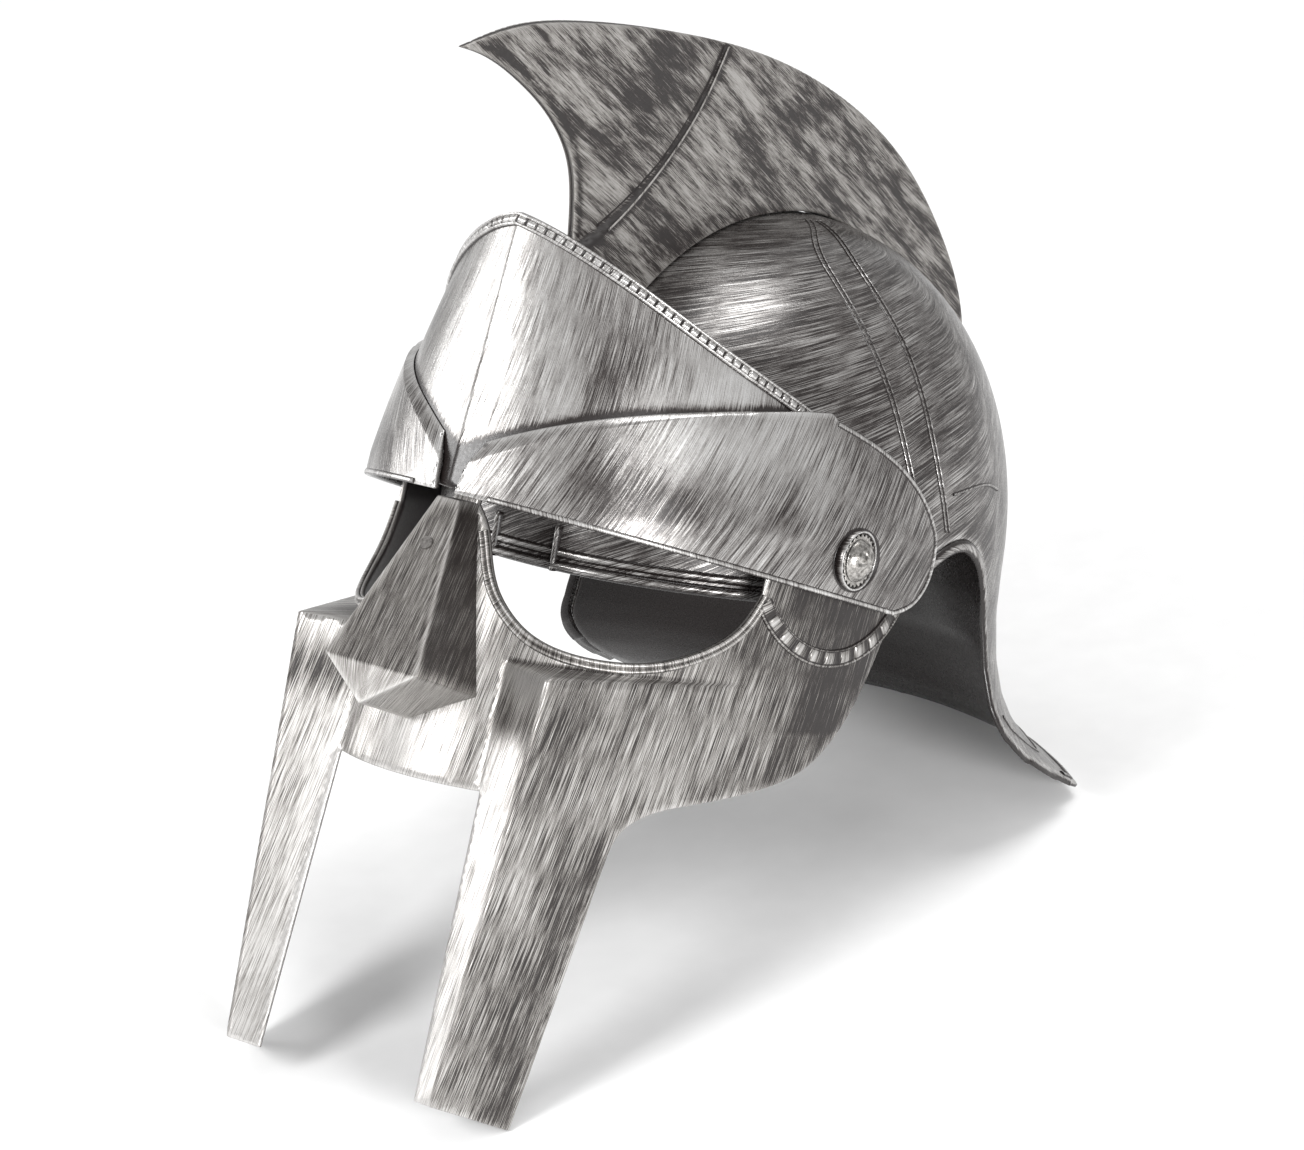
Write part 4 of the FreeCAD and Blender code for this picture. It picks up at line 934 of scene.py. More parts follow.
def makeBands():
    scale = visor["flatScale"]
    # upper line on the flat, moved until its x comes out right
    x = np.linspace(band["inner"][0][0], 88.0, 70)
    t = np.arcsin(np.clip(x / (visor["halfWidth"] + visor["grow"] - 6.0), 0, 1))
    topLine = np.stack([t * scale, bandTop(x)], 1)
    for _ in range(4):
        topLine[:, 0] += (x - grownVisor(topLine[:, 0] / scale, topLine[:, 1])[:, 0]) * 1.1
    ear = sideToFlat(curveThrough(band["side"], 1.0), grownVisor, scale)
    topLine = topLine[topLine[:, 0] < ear[0, 0] - 1.0]
    low = sideToFlat(evenly([band["side"][-1], band["lowEnd"]], 1.2), grownVisor, scale)
    inner = np.array([(p[0] / 100.0 * scale, p[1]) for p in band["inner"]])
    low = low[low[:, 0] > inner[-1, 0] + 0.6]
    outline = np.vstack([topLine, ear, low[1:], inner[::-1][:-1]])
    outline = evenly(np.vstack([outline, outline[:1]]), 1.2)[:-1]
    # creases: the cup's circles, closed by a last point, and the foot of the bevel
    circles = []
    for r in (band["cupRadius"] + 0.9, band["cupRadius"], band["cupBore"]):
        ring = sideToFlat(turned([(0, r)], 60)[:, 1:], grownVisor, scale)
        circles.append(np.vstack([ring, ring[:1] + [1e-3, 1e-3]]))
    bevelX = np.linspace(7.0, 68.0, 60)
    crease = []
    for shift in (0.0, 0.8):
        z = bandTop(bevelX) - band["bevel"] * (1 - bevelX / band["bevelEnd"]) - shift
        side = grownVisor(np.full_like(bevelX, math.pi / 2), z)[:, 0]
        line = np.stack([np.arcsin(np.clip(bevelX / side, 0, 1)) * scale, z], 1)
        crease.append(line[insidePolygon(line, outline) & (nearest(line, outline) > 0.7)])

    def fromPin(flat):
        return np.hypot(flat[:, 1] - stance["pivotY"], flat[:, 2] - stance["pivotZ"])

    def surface(q, depth):
        # a bevel rises from the upper line to the grown surface; inside the cup x is its flat floor
        t, z = q[:, 0] / scale, q[:, 1]
        flat = grownVisor(t, z)
        x = np.abs(flat[:, 0])
        width = np.maximum(band["bevel"] * (1 - x / band["bevelEnd"]), 0.5)
        rise = np.clip((bandTop(x) - z) / width, 0, 1)
        rise = np.where(x < band["bevelEnd"], rise, 1)
        outer = band["crestLine"] + (visor["grow"] - band["crestLine"]) * rise
        p = visorPoint(t, z, outer - depth / band["thick"] * (outer - band["footGap"]))
        inCup = smooth((band["cupRadius"] - fromPin(flat)) / 0.8)[:, None]
        flat[:, 0] = band["cupFloor"] - depth * 0.6
        return p * (1 - inCup) + flat * inCup

    def marks(q):
        # dark in the cup and in a low patch, painted shade towards the ear, and a painted highlight in a patch
        # under the upper line
        flat = grownVisor(q[:, 0] / scale, q[:, 1])
        x, z = flat[:, 0], q[:, 1]
        cup = 1.1 * smooth((band["cupRadius"] + 0.9 - fromPin(flat)) / 0.9)
        # painted highlight in a patch under the upper line
        paintedHighlight = 0.3 * np.exp(-((x - 70) / 11) ** 2) * np.exp(-((z - 38) / 13) ** 2)
        low = 0.3 * np.exp(-((x - 58) / 20) ** 2) * np.exp(-((z - 16) / 12) ** 2)
        # the 0.16 term rising with y is the painted shade towards the ear
        return cup + 0.16 * smooth((flat[:, 1] + 25) / 25) - paintedHighlight + low

    sheet = trimmedSheet(outline, [], crease + circles, 1.7, surface, band["thick"], 0.45, marks)
    # thin rolled rim along the lower edge and round the ear end
    rimSide = np.vstack([curveThrough(band["side"], 0.8), evenly([band["side"][-1], band["rimEnd"]], 0.8)[1:]])
    flat = sideToFlat(rimSide, grownVisor, scale)
    path = surface(flat, np.zeros(len(flat)))
    normal = normalsOf(surface, flat)
    normal *= np.sign((normal * (path - [0, visor["centreY"], 0])).sum(1))[:, None]
    rim = rolled(path, normal, acrossWays(path, normal, (0, 0, 1)), band["rim"])
    # raised lip of the cup, its map wound round it
    spokes, k = 72, len(band["cupLip"])
    turn = np.linspace(0, 2 * math.pi, spokes + 1)[:-1]
    lipUv = np.stack([np.repeat(turn * 10.2, k), np.tile(np.arange(k) * 1.0, spokes)], 1)
    wear = np.tile(band["cupWear"], spokes)
    lip = (turned(band["cupLip"], spokes), gridFaces(spokes, k, True), lipUv, wear, 1 - wear)
    for name, sign in (("left", 1), ("right", -1)):
        group = Surfaces()
        for verts, faces, uv, edge, dark in (sheet, rim, lip):
            group.add(verts * [sign, 1, 1], faces, uv + (0 if sign > 0 else 90), edge, dark)
        group.piece("brow_band_shell_" + name, "visor", "silvered_plastic", finishes["band"],
                    ("brow_band_" + name,))


makeBands()

# Mask: cheek and eye plate with two long folded prongs

mask = {
    "halfWidth": 95.0, "reach": 141.9, "baseZ": 4.0, "lean": 0.184, "flatScale": 115.0,
    "prongTop": -43.8, "prongFoot": -192.0, "ridgeTop": (54.7, -124.6), "ridgeFoot": (45.6, -141.8),
    "innerTop": 28.8, "innerFoot": 34.1, "outerTop": -44.0, "outerFoot": -102.0, "heelY": -113.0,
    "heelDrop": 8.2, "lipZ": -88.2, "stripX": 5.5, "stripTop": 24.0, "topZ": 14.0,
    "topSide": [(-45.0, 14.0), (-5.5, 12.2)],
    "cheek": [(-91.5, -104.0), (-88, -96.5), (-80, -90.6), (-66, -86.6), (-50, -83.4), (-34, -79.6),
              (-18.6, -74), (-4.5, -62.5), (6.5, -46), (15, -25.7)],
    # eye opening, seen from eyeView degrees to the side
    "eye": [(-67.5, 5), (-64.3, 0), (-61.4, -10), (-57.4, -21.3), (-52.9, -27.3), (-46, -33), (-33.8, -37.6),
            (-19.9, -39.2), (-2.7, -38.3), (14, -33), (26.9, -23.8), (33.4, -12)],
    "eyeView": 40.0, "discTop": -8.0,
    # double bead under the eye, across it and above it
    "beadWidths": (0.0, 0.0, 0.2, 0.55, 1.0, 1.4, 1.7, 1.9, 2.1, 2.4, 2.8, 3.2, 3.45, 3.6, 3.6),
    "beadHeights": (-0.4, 0.3, 0.95, 1.3, 1.2, 0.8, 0.35, 0.25, 0.4, 0.8, 0.95, 0.75, 0.4, 0.0, -0.4),
    "beadFrom": 13.5,
    # ring of wedge blocks round the ear disc: radius, angles, spacing along it, its rails and blocks
    "ringRadius": 35.75, "ringFrom": -12.0, "ringTo": -152.0, "ringPitch": 7.4,
    "ringWidths": (-3.2, -3.2, -2.7, -2.4, -2.0, 1.6, 2.1, 2.5, 3.0, 3.2, 3.2),
    "ringRails": (-0.4, 0.3, 0.8, 0.5, 0.0, 0.0, 0.35, 0.9, 0.75, 0.2, -0.4),
    "ringBlocks": (0, 0, 0, 0, 1, 1, 0, 0, 0, 0, 0),
    "pad": [(87.8, 3.06), (87.8, 8.0), (92.0, 8.0), (92.0, 3.06)],      # hinge pad, as x and radius
}


def maskPoint(t, z, off=0.0):
    # x = half width * sin t, y = centre - front * cos t, front closing in with height
    front = mask["reach"] - mask["lean"] * (z - mask["baseZ"]) + off
    x = (mask["halfWidth"] + off) * np.sin(t)
    return np.stack([x, visor["centreY"] - front * np.cos(t), z + 0 * t], -1)


def prongPlan(z, depth):
    # inner edge, ridge and outer edge of the fold at each height, moved in by depth
    share = (mask["prongTop"] - z) / (mask["prongTop"] - mask["prongFoot"])
    front = mask["reach"] - mask["lean"] * (z - mask["baseZ"])
    ix = mask["innerTop"] + (mask["innerFoot"] - mask["innerTop"]) * share
    inner = np.stack([ix, visor["centreY"] - front * np.sqrt(1 - (ix / mask["halfWidth"]) ** 2)], -1)
    top, foot = np.array(mask["ridgeTop"]), np.array(mask["ridgeFoot"])
    ridge = top + (foot - top) * share[:, None]
    oy = mask["outerTop"] + (mask["outerFoot"] - mask["outerTop"]) * share
    ox = mask["halfWidth"] * np.sqrt(1 - ((visor["centreY"] - oy) / front) ** 2)
    outer = np.stack([ox, oy], -1)
    a, b = ridge - inner, outer - ridge
    la, lb = np.linalg.norm(a, axis=1)[:, None], np.linalg.norm(b, axis=1)[:, None]
    na, nb = np.stack([-a[:, 1], a[:, 0]], 1) / la, np.stack([-b[:, 1], b[:, 0]], 1) / lb
    both = na + nb
    d = np.asarray(depth)[:, None]
    moved = ridge + both * d * 2 / (both ** 2).sum(1)[:, None]
    return inner + na * d, moved, outer + nb * d, la[:, 0], lb[:, 0]


def prongAngles(z):
    # angles of the fold's inner edge, ridge and outer edge on the mask's ellipse
    inner, _, outer, la, lb = prongPlan(z, np.zeros_like(z))
    tIn = np.arcsin(inner[:, 0] / mask["halfWidth"])
    tOut = np.arcsin(np.clip(outer[:, 0] / mask["halfWidth"], 0, 1))
    return tIn, tIn + (tOut - tIn) * la / (la + lb), tOut


def maskSurface(q, depth):
    # the ellipse, and below the ledge the two flat facets of the fold, blended over the ledge
    t, z = q[:, 0] / mask["flatScale"], q[:, 1]
    depth = depth + 0 * t
    base = maskPoint(np.abs(t), z, -depth)
    low = np.minimum(z, mask["prongTop"] + 1.0)
    tIn, tRidge, tOut = prongAngles(low)
    inner, ridge, outer, _, _ = prongPlan(low, depth)
    a = np.clip((np.abs(t) - tIn) / (tRidge - tIn), 0, 1)[:, None]
    b = np.clip((np.abs(t) - tRidge) / (tOut - tRidge), 0, 1)[:, None]
    ahead = np.abs(t)[:, None] < tRidge[:, None]
    fold = np.where(ahead, inner + (ridge - inner) * a, ridge + (outer - ridge) * b)
    share = smooth((mask["prongTop"] + 0.45 - z) / 0.9)
    share = share * ((np.abs(t) > tIn) & (np.abs(t) < tOut))
    base[:, :2] += (fold - base[:, :2]) * share[:, None]
    base[:, 0] *= np.where(t < 0, -1, 1)
    return base


def maskFlat(y, z):
    # where the mask's surface, folds and all, reaches y at height z
    def tooLow(m):
        return maskSurface(np.stack([m * mask["flatScale"], z], 1), 0.0)[:, 1] < y
    t = halved(np.full_like(y, 0.01), np.full_like(y, 2.2), tooLow)
    return np.stack([t * mask["flatScale"], z], 1)


def eyeFlat(path):
    # the eye's path, seen from the side by eyeView, laid on the mask: x cos + y sin is its first place
    turn = math.radians(mask["eyeView"])

    def tooLow(m):
        p = maskPoint(m, path[:, 1])
        return p[:, 0] * math.cos(turn) + p[:, 1] * math.sin(turn) < path[:, 0]
    t = halved(np.full(len(path), -0.2), np.full(len(path), 1.9), tooLow)
    return np.stack([t * mask["flatScale"], path[:, 1]], 1)


def makeMask():
    scale, step = mask["flatScale"], 1.3
    stripX, stripTop, topZ = mask["stripX"] / mask["halfWidth"] * scale, mask["stripTop"], mask["topZ"]
    eye = eyeFlat(curveThrough(mask["eye"], 0.8))
    eye[:, 0] = np.maximum(eye[:, 0], stripX)
    eyeEnd = (eye[-1, 0] + 0.2, topZ)
    # side edge: along the top, round the ear disc, down the cheek and the prong
    pivot = np.array([stance["pivotY"], stance["pivotZ"]])
    toCheek = np.array(mask["cheek"][-1]) - pivot
    turn = np.linspace(math.radians(mask["discTop"]), math.atan2(toCheek[1], toCheek[0]), 24)
    arc = pivot + np.linalg.norm(toCheek) * np.stack([np.cos(turn), np.sin(turn)], 1)
    cheek = curveThrough(mask["cheek"], 1.0)[::-1]
    heel = (mask["heelY"], mask["prongFoot"] - mask["heelDrop"])
    side = np.vstack([evenly(mask["topSide"], step)[:-1], evenly([mask["topSide"][-1], arc[0]], step)[:-1],
                      arc[:-1], cheek[:-1], evenly([mask["cheek"][0], heel], step)])
    sideFlat = maskFlat(side[:, 0], side[:, 1])
    # the foot slopes up towards the ridge and on to the inner edge
    slope = mask["heelDrop"] / (mask["heelY"] - mask["ridgeFoot"][1])
    tFoot = np.linspace(sideFlat[-1, 0] / scale, 0.30, 40)
    z = np.full_like(tFoot, mask["prongFoot"])
    for _ in range(12):
        y = maskSurface(np.stack([tFoot * scale, z], 1), 0.0)[:, 1]
        z = mask["prongFoot"] - (y - mask["ridgeFoot"][1]) * slope
    foot = np.stack([tFoot * scale, z], 1)
    zIn = np.linspace(mask["lipZ"], mask["prongFoot"] - 3, 90)
    innerEdge = np.stack([prongAngles(zIn)[0] * scale + 0.2, zIn], 1)
    footEnd = np.interp(innerEdge[-1, 0], foot[::-1, 0], foot[::-1, 1])
    foot = foot[foot[:, 0] > innerEdge[-1, 0] + 0.3]
    innerEdge = innerEdge[innerEdge[:, 1] > footEnd]
    innerEdge = np.vstack([innerEdge, [innerEdge[-1, 0], footEnd]])
    lip = np.array([(innerEdge[0, 0], mask["lipZ"]), (0.0, mask["lipZ"])])
    topLine = np.array([eyeEnd, (sideFlat[0, 0], topZ)])
    right = np.vstack([[(0.0, stripTop)], evenly([(0.0, stripTop), (stripX, stripTop)], step)[1:],
                       evenly([(stripX, stripTop), eye[0]], step)[1:], eye[1:],
                       evenly([eye[-1], eyeEnd], step)[1:], evenly(topLine, step)[1:-1], sideFlat, foot[1:],
                       innerEdge[::-1], evenly(lip, step)[1:]])
    outline = np.vstack([right, (right[1:-1] * [-1, 1])[::-1]])
    outline = outline[np.linalg.norm(outline - np.roll(outline, 1, axis=0), axis=1) > 0.05]
    # folds: ridge, outer line, inner line and the ledge over the prong
    zs = np.arange(mask["prongTop"] - 0.6, -190.0, -1.3)
    tIn, tRidge, tOut = prongAngles(zs)
    rows = [np.stack([tRidge * scale + d, zs], 1) for d in (0.0, -1.2, 1.2)] + [np.stack([tOut * scale, zs], 1)]
    inLine = np.stack([tIn * scale, zs], 1)
    rows.append(inLine[inLine[:, 1] > mask["lipZ"]])
    for shift in (0.46, 0.0, -0.46):
        ledgeZ = mask["prongTop"] + shift
        a, _, b = prongAngles(np.array([ledgeZ]))
        row = np.linspace(a[0] * scale, b[0] * scale, 50)
        rows.append(np.stack([row, np.full_like(row, ledgeZ)], 1))
    creases = []
    for row in rows:
        row = row[insidePolygon(row, outline) & (nearest(row, outline) > 0.7)]
        if len(row) > 3:
            creases += [row, row * [-1, 1]]

    def marks(q):
        # painted highlight on the fold's inner facet and at the middle, painted shade at the top of both facets
        # and painted shadow along the ledge; darker along the far part of the outer facet, at the ear and on
        # the cheek
        p = maskSurface(q, 0.0)
        z = q[:, 1]
        tIn, tRidge, _ = prongAngles(np.minimum(z, mask["prongTop"]))
        t = np.abs(q[:, 0]) / scale
        onProng = z < mask["prongTop"]
        inFacet = onProng * smooth((t - tIn) / 0.01 + 0.5) * smooth((tRidge - t) / 0.01 + 0.5)
        far = onProng * smooth((t - tRidge - 0.07) / 0.12) * smooth((-85 - z) / 25)
        ear = smooth((p[:, 1] + 40) / 30) * (z > -60)
        # painted shadow along the ledge
        ledge = np.exp(-((z - mask["prongTop"] - 0.9) / 0.6) ** 2) * smooth((t - tIn) / 0.02) \
            * smooth((tRidge + 0.22 - t) / 0.2)
        # painted highlight at the middle
        middle = np.exp(-(t / 0.24) ** 2) * smooth((-52 - z) / 20)
        # painted shade at the top of the inner facet, then of the outer facet
        inTop = inFacet * np.exp(-((z + 62) / 9) ** 2)
        outTop = smooth((t - tRidge) / 0.03) * np.exp(-((z + 60) / 14) ** 2) \
            * np.exp(-((t - tRidge) / 0.16) ** 2)
        cheek = smooth((t - 0.85) / 0.25) * smooth((z + 100) / 20)
        # the inner facet's negative term is a painted highlight
        return -0.25 * inFacet + 0.2 * far + 0.25 * ear + 0.7 * ledge - 0.3 * middle + 0.45 * inTop \
            + 0.2 * outTop + 0.16 * cheek

    group = Surfaces()
    group.add(*trimmedSheet(outline, [], creases, 2.0, maskSurface, stance["wall"], 0.4, marks))

    def onMask(flat, widths, heights, towards, dark):
        # a profile laid on the mask along a path of its flat
        path = maskSurface(flat, 0.0)
        normal = normalAt(maskPoint, flat[:, 0] / scale, flat[:, 1], 0.004)
        across = acrossWays(path, normal, towards(path[len(path) // 2]))
        group.addBothSides(*ribbon(path, normal, across, widths, heights, dark))

    under = eyeFlat(curveThrough(mask["eye"], 0.6))
    under = under[under[:, 0] > mask["beadFrom"]]
    heights = np.array(mask["beadHeights"])
    onMask(under, mask["beadWidths"], heights, lambda p: (0.0, 0.0, -1.0), np.clip(0.5 - heights, 0, 0.5))
    # each block of the ear ring rises slowly and ends steeply
    angles = np.linspace(math.radians(mask["ringFrom"]), math.radians(mask["ringTo"]), 400)
    ring = pivot + mask["ringRadius"] * np.stack([np.cos(angles), np.sin(angles)], 1)
    part = (np.abs(angles - angles[0]) * mask["ringRadius"] / mask["ringPitch"]) % 1
    saw = 0.35 + 0.85 * np.clip(part / 0.82, 0, 1) * smooth((1 - part) / 0.12)
    high = np.array(mask["ringRails"]) + np.array(mask["ringBlocks"]) * saw[:, None]
    shade = np.clip(1 - high, 0, 1)
    shade[:, [0, 1, 9, 10]] = 0.7
    onMask(maskFlat(ring[:, 0], ring[:, 1]), mask["ringWidths"], high,
           lambda p: (0.0, p[1] - pivot[0], p[2] - pivot[1]), shade)
    for sign in (-1, 1):
        pad = turned(mask["pad"], 40, sign)
        group.add(pad, gridFaces(40, len(mask["pad"]), True), pad[:, 1:], None, np.ones(len(pad)))
    return group.piece("mask_plate", "mask", "silvered_plastic", finishes["mask"], ("face_mask",))


makeMask()

# Nose guard: a faceted wedge

nose = {
    "top": (4.9, -121.0, 6.6), "wide": (19.9, -150.3, -49.5), "tip": (0.0, -153.5, -63.0),
    "root": (5.5, 5.4), "base": (22.5, -57.6), "heelZ": -70.0, "sink": 0.6, "bevel": 0.9, "cuts": 14,
    # corners of each facet, the edges that wear bright, and each facet's painted light: painted shade on the
    # sides, painted highlight on the lower facets
    "facets": [(0, 1, 2), (0, 2, 4), (2, 3, 4), (1, 6, 2), (2, 6, 7), (0, 4, 5), (4, 9, 5), (2, 7, 3),
               (3, 7, 8), (3, 8, 9), (3, 9, 4), (0, 5, 6), (0, 6, 1), (5, 9, 6), (6, 9, 7), (7, 9, 8)],
    "sharp": [(0, 1), (1, 2), (2, 3), (3, 4), (4, 0), (2, 7), (4, 9), (1, 6), (0, 5), (3, 8)],
    "shade": [0.12, 0.12, -0.25, 0.42, 0.42, 0.42, 0.42, -0.25, -0.25, -0.25, -0.25, 0.12, 0.12, 0.12, 0.12,
              0.12],
}


def makeNose():
    def seated(x, z):
        # a corner on the mask's ellipse, sunk a little
        front = mask["reach"] - mask["lean"] * (z - mask["baseZ"])
        depth = math.sqrt(1 - (x / mask["halfWidth"]) ** 2)
        return (x, visor["centreY"] - front * depth + nose["sink"], z)

    def flip(p):
        return (-p[0], p[1], p[2])

    top, wide, tip = nose["top"], nose["wide"], nose["tip"]
    root, base, heel = seated(*nose["root"]), seated(*nose["base"]), seated(0.0, nose["heelZ"])
    points = np.array([flip(top), top, wide, tip, flip(wide), flip(root), root, base, heel, flip(base)])
    facets = nose["facets"]
    if volumeOf(points, facets) < 0:
        facets = [f[::-1] for f in facets]
    # each facet is cut into small triangles so that the worn edges can be painted
    n = nose["cuts"]
    steps = [(i, j) for i in range(n + 1) for j in range(n + 1 - i)]
    index = {step: k for k, step in enumerate(steps)}
    small = [(index[i, j], index[i + 1, j], index[i, j + 1]) for i in range(n) for j in range(n - i)]
    small += [(index[i + 1, j], index[i + 1, j + 1], index[i, j + 1])
              for i in range(n) for j in range(n - 1 - i)]
    w = np.array(steps) / n
    verts, tris, uv, edge, dark = [], [], [], [], []
    for number, ((a, b, c), shade) in enumerate(zip(facets, nose["shade"])):
        p = points[a] + (points[b] - points[a]) * w[:, :1] + (points[c] - points[a]) * w[:, 1:]
        verts.append(p)
        tris += [tuple(k + number * len(w) for k in t) for t in small]
        # the map unfolds the side facets back from the front face
        faceY = top[1] + (top[2] - p[:, 2]) * (wide[1] - top[1]) / (top[2] - wide[2])
        uv.append(np.stack([p[:, 0] + (p[:, 1] - faceY) * np.sign(p[:, 0]), p[:, 2]], 1))
        wear = np.zeros(len(p))
        for i, j in nose["sharp"]:
            d = points[j] - points[i]
            along = np.clip(((p - points[i]) @ d) / (d @ d), 0, 1)
            away = np.linalg.norm(p - points[i] - along[:, None] * d, axis=1)
            wear = np.maximum(wear, np.exp(-(away / 1.1) ** 2))
        edge.append(wear)
        # the facet's painted shade, negative for a painted highlight
        dark.append(np.full(len(p), shade))
    merged = np.vstack(verts)
    _, first, back = np.unique(np.round(merged, 4), axis=0, return_index=True, return_inverse=True)
    tris = [tuple(back.ravel()[list(t)]) for t in tris]
    piece = makePiece("nose_wedge", merged[first], tris, "mask", finishes["nose"],
                      ("nose_guard",), np.vstack(uv)[first], np.concatenate(edge)[first],
                      np.concatenate(dark)[first], flat=True)
    soften = piece.modifiers.new("soften", "BEVEL")
    soften.width = nose["bevel"] / 1000
    soften.segments = 3
    soften.limit_method = "ANGLE"
    soften.angle_limit = math.radians(18)
    return piece


makeNose()

# Ear rivets: domed cap with a stamped star, in a bright serrated ring

rivet = {
    "seat": 96.6, "radius": 7.6, "height": 4.6, "petal": 3.4, "pin": 3.0, "pinFrom": 72.4,
    "rings": 26, "spokes": 96, "petals": 6, "petalDeep": 0.75, "middleDeep": 0.45,
    "ringX": 95.9, "ringThick": 0.7, "ringOut": 9.5, "ringDip": 8.0, "ringBore": 3.1, "teeth": 24,
    "toothDeep": 0.9,
}


def makeRivets():
    spokes, pivotY, pivotZ = rivet["spokes"], stance["pivotY"], stance["pivotZ"]
    r = np.linspace(0, 1, rivet["rings"] + 1)[1:] ** 0.8 * rivet["radius"]
    a = np.linspace(0, 2 * math.pi, spokes + 1)[:-1]
    rr, aa = np.meshgrid(r, a, indexing="ij")
    # part of a ball, less petals pressed into it and a small dimple at its middle
    ball = (rivet["radius"] ** 2 + rivet["height"] ** 2) / (2 * rivet["height"])
    x = rivet["seat"] + rivet["height"] - ball + np.sqrt(ball ** 2 - rr ** 2)
    star = np.exp(-((rr - rivet["petal"]) / 1.5) ** 2) * (0.5 + 0.5 * np.cos(rivet["petals"] * aa)) ** 1.5
    x = x - rivet["petalDeep"] * star - rivet["middleDeep"] * np.exp(-(rr / 0.9) ** 2)
    dome = np.stack([x, pivotY + rr * np.cos(aa), pivotZ + rr * np.sin(aa)], -1)
    under = [(rivet["seat"], rivet["radius"]), (rivet["seat"], rivet["pin"]), (rivet["pinFrom"], rivet["pin"])]
    under = turned(under, spokes).reshape(spokes, 3, 3).transpose(1, 0, 2)
    layers = np.concatenate([dome, under])
    count = len(layers)
    tips = [[rivet["seat"] + rivet["height"] - rivet["middleDeep"], pivotY, pivotZ],
            [rivet["pinFrom"], pivotY, pivotZ]]
    verts = np.vstack([layers.reshape(-1, 3), tips])
    faces = gridFaces(count, spokes, alongFirst=False)
    last, tip = (count - 1) * spokes, count * spokes
    faces += [(tip, (k + 1) % spokes, k) for k in range(spokes)]
    faces += [(last + k, last + (k + 1) % spokes, tip + 1) for k in range(spokes)]
    # ring: radius falls between the teeth; its section is a list of radius and x
    points = 8 * rivet["teeth"]
    b = np.linspace(0, 2 * math.pi, points + 1)[:-1]
    wave = np.abs(((b * rivet["teeth"] / (2 * math.pi)) % 1) * 2 - 1)
    outline = rivet["ringOut"] - rivet["toothDeep"] * (1 - smooth(wave * 1.4 - 0.2))
    low, high = rivet["ringX"], rivet["ringX"] + rivet["ringThick"]
    section = [(outline - 0.25, low), (outline, low + 0.15), (outline, high - 0.15), (outline - 0.3, high),
               (rivet["ringDip"], high - 0.1), (rivet["ringBore"], low + 0.35), (rivet["ringBore"], low)]
    ring = np.stack([np.stack([x + 0 * b, pivotY + r * np.cos(b), pivotZ + r * np.sin(b)], -1)
                     for r, x in section])
    ringFaces = gridFaces(len(section), points, True, False)
    for name, sign in (("left", 1), ("right", -1)):
        for label, v, f, node in (("rivet_cap_", verts, faces, "ear_rivet_"),
                                  ("rivet_ring_", ring.reshape(-1, 3), ringFaces, "ear_tooth_washer_")):
            v = v * [sign, 1, 1]
            if volumeOf(v, f) < 0:
                f = [tuple(reversed(g)) for g in f]
            makePiece(label + name, v, f, "skull", rivetMetal, (node + name,), v[:, 1:])


makeRivets()

# Pieces whose CAD shape stays, in their real materials
keptNodes = {
    "crest_screws": zincPlate, "crest_screw_washers": zincPlate, "ear_lock_nut_left": zincPlate,
    "ear_lock_nut_right": zincPlate, "ear_spacer_left": blackNylon, "ear_spacer_right": blackNylon,
    "brow_studs_left": blackNylon, "brow_studs_right": blackNylon, "nose_guard_stud": studMetal,
}
for node, material in keptNodes.items():
    for obj in bpy.data.objects:
        ownName = obj.name == node or obj.name.startswith((node + ".", node + "["))
        if obj.type == "MESH" and ownName:
            for slot in obj.material_slots:
                slot.link = "OBJECT"
                slot.material = material
print("small pieces dressed")

# Floor, light and camera

stage = {
    "azimuth": 39.507, "elevation": 26.51, "roll": -5.672, "distance": 1.75,
    "target": (0.00536, -0.003668, 0.121544), "lens": 135.3, "sensor": 36.0,
    "floor": 2.6, "floorZ": -0.0004, "backdrop": (1.0, 1.0, 1.0, 1.0), "ambient": 0.58,
}


def makeFloor():
    # a plain pale square, a hair under the helmet
    mesh = bpy.data.meshes.new("floor")
    h, z = stage["floor"] / 2, stage["floorZ"]
    mesh.from_pydata([(-h, -h, z), (h, -h, z), (h, h, z), (-h, h, z)], [], [(0, 1, 2, 3)])
    floor = bpy.data.objects.new("floor", mesh)
    bpy.context.scene.collection.objects.link(floor)
    material, tree, shader = newMaterial("pale_floor")
    place = addNode(tree, "ShaderNodeTexCoord").outputs["Object"]
    noise = addNode(tree, "ShaderNodeTexNoise", {"Vector": place, "Scale": 60.0}).outputs["Fac"]
    colour = ramp(tree, noise, [(0.2, (0.9, 0.9, 0.9, 1)), (0.8, (0.94, 0.94, 0.94, 1))])
    tree.links.new(colour, shader.inputs["Base Color"])
    shader.inputs["Roughness"].default_value = 0.9
    mesh.materials.append(material)


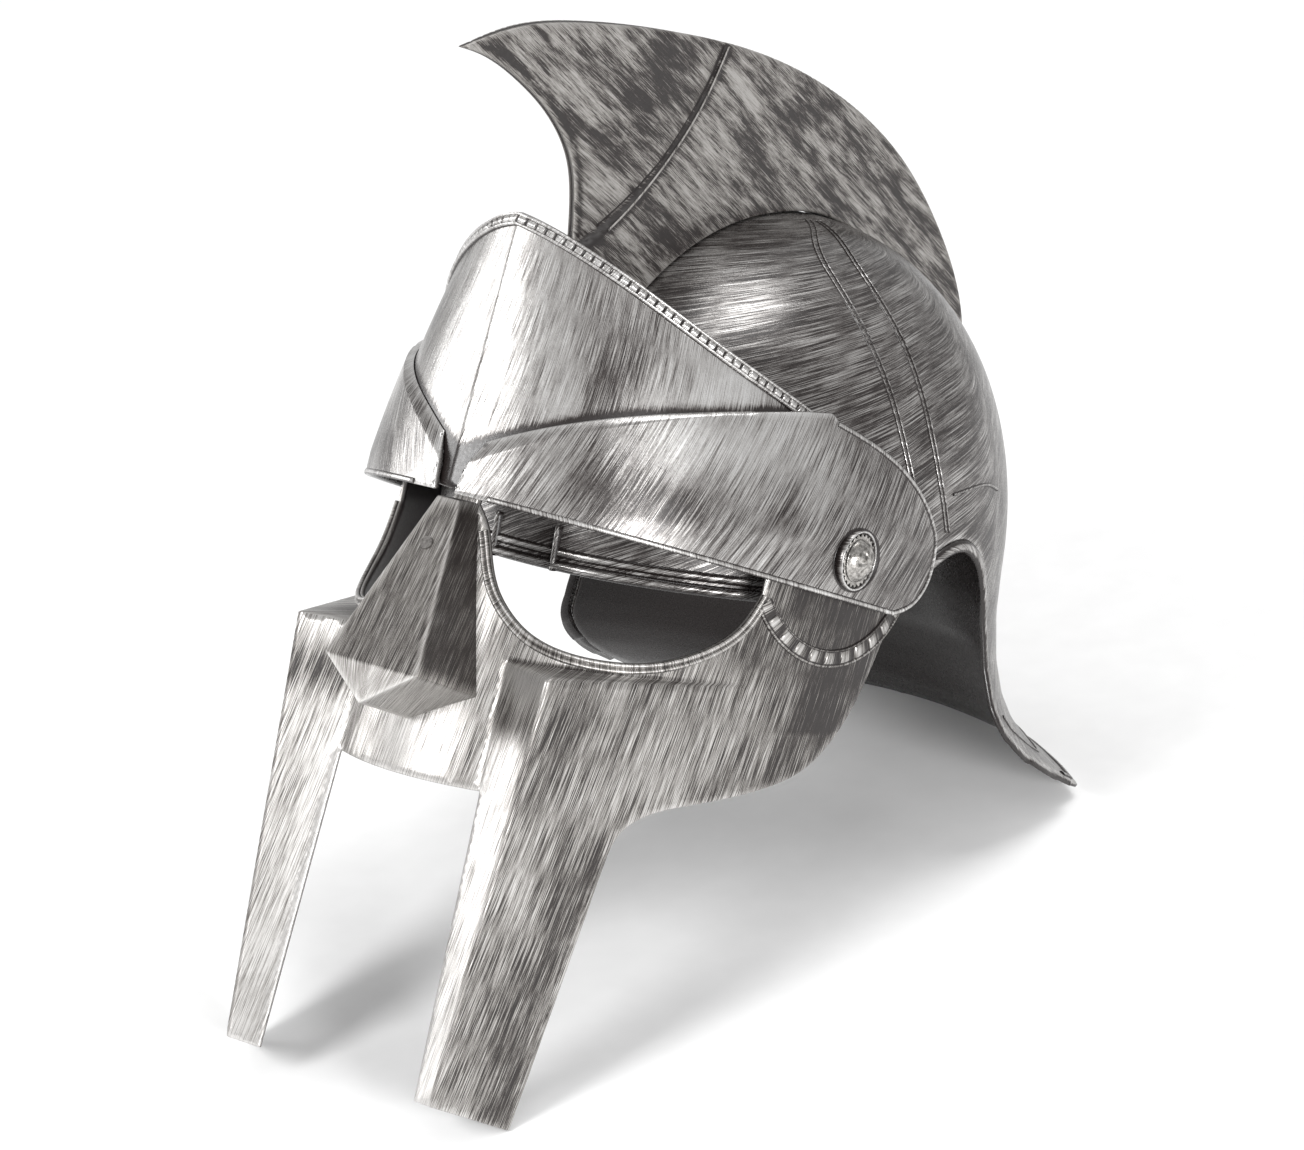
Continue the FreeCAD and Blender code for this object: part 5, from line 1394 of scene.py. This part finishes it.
def makeWorld():
    # soft light all round; the camera, and what is seen through clear things, gets plain white
    world = bpy.data.worlds.new("studio")
    bpy.context.scene.world = world
    world.use_nodes = True
    tree = world.node_tree
    tree.nodes.clear()
    path = addNode(tree, "ShaderNodeLightPath")
    seen = compute(tree, "MAXIMUM", path.outputs["Is Camera Ray"], path.outputs["Is Transmission Ray"])
    soft = addNode(tree, "ShaderNodeBackground", {"Color": (1, 1, 1, 1), "Strength": stage["ambient"]})
    white = addNode(tree, "ShaderNodeBackground", {"Color": stage["backdrop"], "Strength": 1.0})
    both = addNode(tree, "ShaderNodeMixShader", {0: seen, 1: soft.outputs[0], 2: white.outputs[0]})
    addNode(tree, "ShaderNodeOutputWorld", {"Surface": both.outputs[0]})


def addLight(name, place, aim, size, power):
    # a round soft lamp, pointed at aim
    data = bpy.data.lights.new(name, "AREA")
    data.shape = "DISK"
    data.size = size
    data.energy = power
    light = bpy.data.objects.new(name, data)
    light.location = place
    light.rotation_euler = (Vector(aim) - Vector(place)).to_track_quat("-Z", "Y").to_euler()
    bpy.context.scene.collection.objects.link(light)


def makeCamera():
    # looks at the target from its azimuth and elevation, rolled about its own axis
    az, el, roll = (math.radians(stage[k]) for k in ("azimuth", "elevation", "roll"))
    forward = Vector((-math.sin(az) * math.cos(el), math.cos(az) * math.cos(el), -math.sin(el)))
    level = Vector((math.cos(az), math.sin(az), 0))
    above = level.cross(forward)
    right = level * math.cos(roll) + above * math.sin(roll)
    up = above * math.cos(roll) - level * math.sin(roll)
    data = bpy.data.cameras.new("camera")
    data.lens = stage["lens"]
    data.sensor_fit = "HORIZONTAL"
    data.sensor_width = stage["sensor"]
    data.clip_start = 0.05
    data.clip_end = 30.0
    camera = bpy.data.objects.new("camera", data)
    turn = Matrix((right, up, -forward)).transposed().to_4x4()
    camera.matrix_world = Matrix.Translation(Vector(stage["target"]) - forward * stage["distance"]) @ turn
    bpy.context.scene.collection.objects.link(camera)
    bpy.context.scene.camera = camera


makeFloor()
makeWorld()
addLight("front", (-0.3, -1.55, 1.25), (0, -0.05, 0.17), 0.7, 22)
addLight("side", (1.75, -0.85, 0.62), (0, 0, 0.15), 0.5, 26)
addLight("left", (-1.9, -0.5, 0.5), (0, -0.1, 0.12), 1.0, 15)
addLight("top", (0.3, 0.9, 2.0), (0, 0, 0.15), 1.1, 16)
makeCamera()
bpy.context.scene.view_settings.view_transform = "Standard"
print("stage set")
